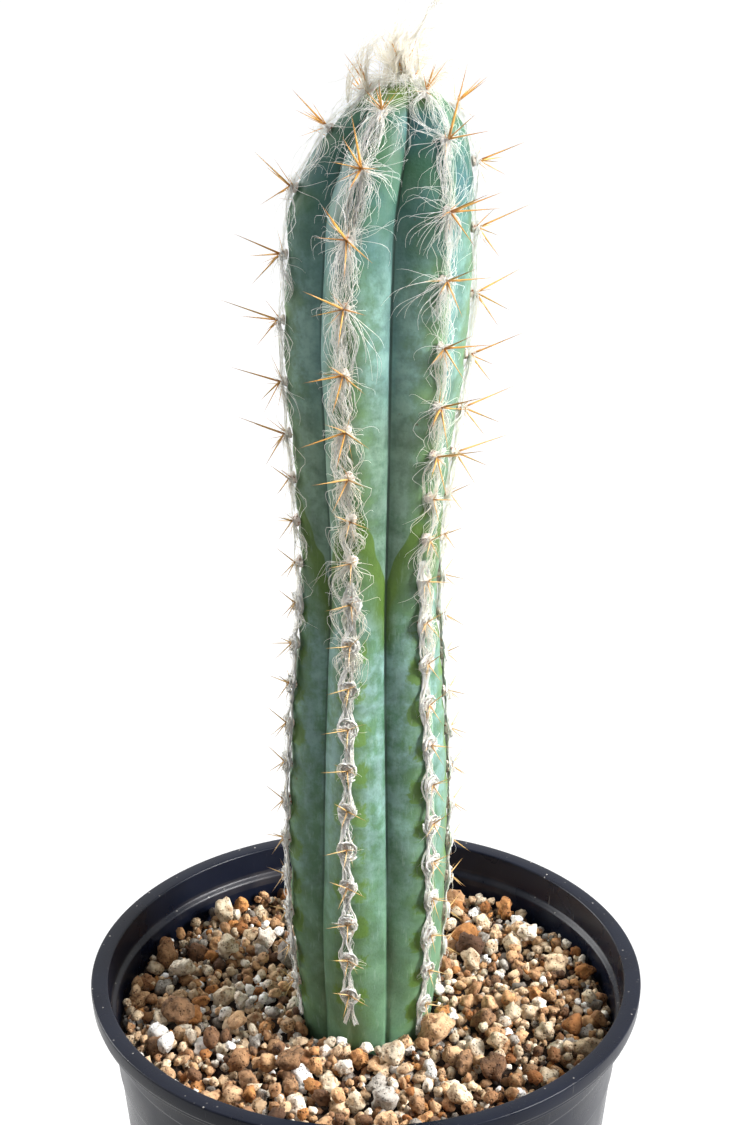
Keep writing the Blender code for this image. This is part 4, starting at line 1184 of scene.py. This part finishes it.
def arched_hair(draw, start, middle, tip, count, spread):
    """Hairs of one lock: a quadratic arc from start to tip, from which they part and wander."""
    t = np.linspace(0, 1, PLUME_STEPS)[:, None]
    arc = np.array(start) * (1 - t) ** 2 + np.array(middle) * 2 * t * (1 - t) + np.array(tip) * t * t
    reach = draw.uniform(0.6, 1.0, (count, 1, 1))
    apart = draw.normal(0, spread, (count, 1, 3)) * (0.4 + 1.6 * t)
    length = np.linalg.norm(np.array(tip) - np.array(start))
    wandering = curl(draw, count, length * t[:, 0], 0.00045, 0.009) * t
    return np.array(start) + (arc - np.array(start)) * reach + apart + wandering


def outward(angle):
    """Level direction at an angle from +X."""
    return Vector((math.cos(angle), math.sin(angle), 0))


base = Vector((float(stem_centre(APEX_HEIGHT)), 0, RIM + APEX_HEIGHT + WOOL_GAP))
root = base + Vector((0, 0, PLUME_ROOT[1]))
plume_draw = random.Random(SPINE_SEED)
draw = np.random.default_rng(77)
groups = [(flame_hair(draw, base), 1.8 * WISP_RADIUS, 1.0, 500)]
for number, arc in enumerate(SIDE_ARCS):
    ends = [base + Vector(point) for point in arc]
    groups.append((arched_hair(draw, *ends, SIDE_HAIRS, SIDE_SPREAD), 1.4 * WISP_RADIUS, 1.0, 540 + number))
for number in range(PLUME_LOCKS):
    away = outward(2 * math.pi * number / PLUME_LOCKS)
    start = root + PLUME_ROOT[0] * away
    length = PLUME_LENGTH * plume_draw.uniform(*PLUME_LENGTHS)
    middle, tip = (start + (out * away + Vector((0, 0, rise))) * length
                   for out, rise in (PLUME_MIDDLE, PLUME_TIP))
    paths = arched_hair(draw, start, middle, tip, LOCK_OF_PLUME, PLUME_SPREAD)
    groups.append((paths, 1.2 * WISP_RADIUS, 0.9, 510 + number))
for number in range(SKIRT_LOCKS):
    away = outward(draw.uniform(0, 2 * math.pi))
    start = base + PLUME_PROFILE[0][1] * away * draw.uniform(0.1, 1.1) - Vector((0, 0, 0.001))
    middle = start + away * draw.uniform(0.002, 0.006) + Vector((0, 0, draw.uniform(0.002, 0.007)))
    tip = start + away * draw.uniform(0.005, 0.013) + Vector((0, 0, draw.uniform(-0.007, 0.003)))
    paths = arched_hair(draw, start, middle, tip, SKIRT_HAIRS, SKIRT_SPREAD)
    groups.append((paths, 1.3 * WISP_RADIUS, 0.5, 600 + number))
add_hair("plume_hair", groups, "wool_tip")
tip_directions, tip_lengths = [], []
for number in range(TIP_SPINES):
    out = outward(2 * math.pi * (number + TIP_SPINE_TURN) / TIP_SPINES)
    tip_directions.append((TIP_SPINE_LEAN * out + Vector((0, 0, 1))).normalized())
    tip_lengths.append(TIP_SPINE_LENGTH * plume_draw.uniform(*TIP_SPINE_LENGTHS))
add_spines("plume_spines", np.array([root] * TIP_SPINES), np.array(tip_directions), np.array(tip_lengths),
           np.full(TIP_SPINES, SPINE_RADIUS), np.ones(TIP_SPINES), np.full(TIP_SPINES, 0.04),
           np.full(TIP_SPINES, 0.5))

# Soil and its top dressing: the fill reaches to the pot's floor. On it lies a loose layer of pumice,
# baked clay, lava and perlite grains, poured in and left as they fell, with grit in their gaps.
SOIL_DEPTH = 0.0125
SOIL_GAP = 0.0004
BED_DEPTH = SOIL_DEPTH + 0.0052
BED_SIDES, BED_RELIEF = 180, 0.0006
STEM_DIP, DIP_PLACE, DIP_WIDTH = 0.0016, 0.022, 0.012
GRAIN_GAP = 0.0006
GRAIN_KINDS = {
    "pumice_tan": (0.38, "#C8A076", "#784A28", "#EED8B6"),
    "pumice_cream": (0.25, "#DECFB4", "#8E6840", "#F8F0E2"),
    "clay_orange": (0.14, "#C48A50", "#7C4A26", "#E2BC92"),
    "lava_brown": (0.09, "#7A583E", "#3B261A", "#A8825E"),
    "stone_grey": (0.07, "#968E84", "#5A524A", "#BDB6AC"),
    "perlite_white": (0.07, "#F4F2EE", "#CFCAC0", "#FFFFFF"),
}
GRAIN_CLASSES = ((230, 0.0042, 0.0085), (1500, 0.0023, 0.0042))
GRIT = (1100, 0.0009, 0.0023)
PERLITE_PATCH = (-0.050, 0.004, 0.020)
DARK_PATCH = (-0.022, -0.052, 0.016)
HEIGHT_CELL = 0.0006
GRAIN_SINK = 0.20
GRAIN_TRIES = 6
FLATS = 11
FLAT_SHARPNESS = 9


def unit_sphere(divisions):
    """Points and triangles of a unit icosphere."""
    bpy.ops.mesh.primitive_ico_sphere_add(subdivisions=divisions, radius=1)
    sphere = bpy.context.object
    points = np.zeros(len(sphere.data.vertices) * 3)
    sphere.data.vertices.foreach_get("co", points)
    corners = np.zeros(len(sphere.data.loops), np.int32)
    sphere.data.loops.foreach_get("vertex_index", corners)
    mesh = sphere.data
    bpy.data.objects.remove(sphere)
    bpy.data.meshes.remove(mesh)
    points = points.reshape(-1, 3)
    return points / np.linalg.norm(points, axis=1, keepdims=True), corners.reshape(-1, 3)


def grain_radii(draw):
    """Radii of the grains in the order they fall: the coarse ones mixed, mostly small, and then the grit."""
    groups = [smallest + (largest - smallest) * draw.uniform(0, 1, count) ** 2
              for count, smallest, largest in (*GRAIN_CLASSES, GRIT)]
    coarse = np.concatenate(groups[:-1])
    draw.shuffle(coarse)
    return np.concatenate((coarse, groups[-1])) / 2


def pour_grains(draw):
    """Places and sizes of the grains, dropped one by one on the lowest of a few random spots.

    A grid keeps the height of the pile, and each grain settles on the highest point under it, sunk a little.
    """
    half = int(WALL_TOP_RADIUS / HEIGHT_CELL) + 2
    axis = np.arange(-half, half + 1) * HEIGHT_CELL
    from_axis = np.hypot(*np.meshgrid(axis, axis, indexing="ij"))
    pile = RIM - BED_DEPTH - STEM_DIP * np.exp(-((from_axis - DIP_PLACE) / DIP_WIDTH) ** 2)
    grains = []
    for radius in grain_radii(draw):
        inner = float(crest_radius(-SOIL_DEPTH)) + 0.6 * radius
        outer = WALL_TOP_RADIUS - GRAIN_GAP - radius * 1.05
        best = None
        for _ in range(GRAIN_TRIES):
            angle = draw.uniform(0, 2 * math.pi)
            distance = math.sqrt(draw.uniform(inner ** 2, outer ** 2))
            x, y = STEM_OFFSET * (distance < 0.04) + distance * math.cos(angle), distance * math.sin(angle)
            column, row = int(round(x / HEIGHT_CELL)) + half, int(round(y / HEIGHT_CELL)) + half
            reach = int(radius / HEIGHT_CELL)
            window = slice(column - reach, column + reach + 1), slice(row - reach, row + reach + 1)
            across_x, across_y = np.meshgrid(axis[window[0]] - x, axis[window[1]] - y, indexing="ij")
            dome = np.sqrt(np.maximum(radius ** 2 - across_x ** 2 - across_y ** 2, 0))
            rest = float(np.max(np.where(dome > 0, pile[window] + dome, -1))) - GRAIN_SINK * radius
            if best is None or rest < best[0]:
                best = (rest, x, y, window, dome)
        rest, x, y, window, dome = best
        pile[window] = np.where(dome > 0, np.maximum(pile[window], rest + dome * 0.8), pile[window])
        grains.append((x, y, rest, radius))
    return np.array(grains)


def near_patch(grains, patch):
    """1 at the middle of a patch (x, y, radius) of the surface, 0 far from it."""
    x, y, radius = patch
    return np.exp(-((grains[:, 0] - x) ** 2 + (grains[:, 1] - y) ** 2) / radius ** 2)


def choose_kinds(grains, draw):
    """Kind number of each grain: white perlite is likelier at the left, dark lava at the front left."""
    names = list(GRAIN_KINDS)
    shares = np.tile([share for share, *_ in GRAIN_KINDS.values()], (len(grains), 1))
    shares[:, names.index("perlite_white")] *= 1 + 5 * near_patch(grains, PERLITE_PATCH)
    is_grit = grains[:, 3] < GRIT[2] / 2
    shares[:, names.index("lava_brown")] *= 1 + 3 * near_patch(grains, DARK_PATCH) + 4 * is_grit
    limits = np.cumsum(shares, axis=1) / shares.sum(axis=1, keepdims=True)
    return np.sum(draw.uniform(0, 1, (len(grains), 1)) > limits[:, :-1], axis=1)


def grain_points(sphere, grains, draw):
    """Worn crumbs: (sum over flats of max(n.f, 0)^p / d^p)^(-1/p), a rounded polyhedron, with lumps on it."""
    count = len(grains)
    flats = draw.normal(size=(count, FLATS, 3))
    flats /= np.linalg.norm(flats, axis=-1, keepdims=True)
    facing = np.maximum(np.einsum("vk,nbk->nvb", sphere, flats), 0)
    depth = draw.uniform(0.70, 1.0, (count, 1, FLATS))
    radius = (np.sum((facing / depth) ** FLAT_SHARPNESS, axis=-1) + 0.25) ** (-1 / FLAT_SHARPNESS)
    lumps = 4.5 * sphere @ draw.normal(size=(count, 3, 3)) + draw.uniform(0, 6, (count, 1, 3))
    lumps = np.sin(lumps).sum(axis=-1)
    shaped = sphere * (np.minimum(radius, 1.2) * (1 + 0.10 * lumps))[..., None]
    shaped = shaped * draw.uniform(0.72, 1.22, (count, 1, 3))
    turn = np.linalg.qr(draw.normal(size=(count, 3, 3)))[0]
    turn *= np.sign(np.linalg.det(turn))[:, None, None]
    return np.einsum("nvk,nkj->nvj", shaped, turn) * grains[:, 3][:, None, None] + grains[:, None, :3]


def stone_material(name, mid, dark, pale):
    """Rough porous stone: pale and dark patches, sub-millimetre pits with painted shade, and grit; quite
    dull.
    """
    stone, shader = new_material(name, IOR=1.45, Roughness=0.9)
    place = object_place(stone)
    tone = attribute(stone, "tone")
    patch = noise(stone, place, 380.0, 6.0, 0.65)
    # Painted shade: the colour is darkened in each small pit; the same value also sinks the pits in the bump.
    pit_depth_and_shade = band(stone, cells(stone, place, 1000.0)["Distance"], 0.10, 0.36, 0.22, 1.0)
    own = mix(stone, band(stone, tone, 0.45, 1.0), linear(mid), linear(pale))
    own = mix(stone, band(stone, tone, 0.35, 0.0, 0.0, 0.75), own, linear(dark))
    stained = mix(stone, band(stone, patch, 0.44, 0.66, 0.0, 0.85), own, linear(dark))
    pit_shaded = mix(stone, 1.0, stained, pit_depth_and_shade, "MULTIPLY")
    link(stone, mix(stone, band(stone, patch, 0.56, 0.40), pit_shaded, stained), shader, "Base Color")
    bump(stone, shader, combine(stone, patch, pit_depth_and_shade), 1.0, 0.0009)
    return stone


def add_stones(name, grains, material, draw):
    """One piece of all the grains of a kind, the larger ones with finer faces."""
    points, faces, tones, first = [], [], [], 0
    largest_grit, smallest_large = GRIT[2] / 2, GRAIN_CLASSES[0][1] / 2
    sizes = np.digitize(grains[:, 3], (largest_grit, smallest_large))
    for size in range(3):
        sphere, triangles = unit_sphere(size + 1)
        picked = grains[sizes == size]
        shaped = grain_points(sphere, picked, draw)
        offsets = first + np.arange(len(picked))[:, None, None] * len(sphere)
        faces.append((triangles + offsets).reshape(-1, 3))
        points.append(shaped.reshape(-1, 3))
        tones.append(np.repeat(draw.uniform(0, 1, len(picked)), len(sphere)))
        first += len(points[-1])
    piece = add_mesh(name, np.concatenate(points), [np.concatenate(faces)], tone=np.concatenate(tones))
    finish_piece(piece, material, "pumice_gravel")


draw = np.random.default_rng(2024)
grains = pour_grains(draw)
kinds = choose_kinds(grains, draw)
for number, (name, (share, *colours)) in enumerate(GRAIN_KINDS.items()):
    add_stones(f"grains_{name}", grains[kinds == number], stone_material(name, *colours), draw)

bed_level = RIM - BED_DEPTH
hole = float(crest_radius(-SOIL_DEPTH)) + SOIL_GAP
bed_section = np.array([
    (0, RIM + ROOT_END - SOIL_GAP), (float(crest_radius(ROOT_END)) + SOIL_GAP, RIM + ROOT_END - SOIL_GAP),
    (0.0140 + SOIL_GAP, RIM - 0.0454), (0.0176 + SOIL_GAP, RIM - 0.0304), (hole, bed_level),
    *[(r, bed_level) for r in np.linspace(hole, WALL_TOP_RADIUS - SOIL_GAP, 60)[1:]],
    (BASE_RADIUS - POT_WALL - SOIL_GAP, FLOOR_THICKNESS + SOIL_GAP), (0, FLOOR_THICKNESS + SOIL_GAP)])
bed_points, bed_faces = turned(bed_section, BED_SIDES)
top = np.abs(bed_points[:, 2] - bed_level) < 1e-6
bed_points[top, 2] += BED_RELIEF * waves(bed_points[top, 0], bed_points[top, 1], 5, count=9, fine=0.003)
bed = add_mesh("soil_bed", bed_points, bed_faces, tone=np.full(len(bed_points), 0.4))
finish_piece(bed, stone_material("dark_grit", "#2C1D12", "#170E08", "#4A3424"), "pumice_gravel", "soil")
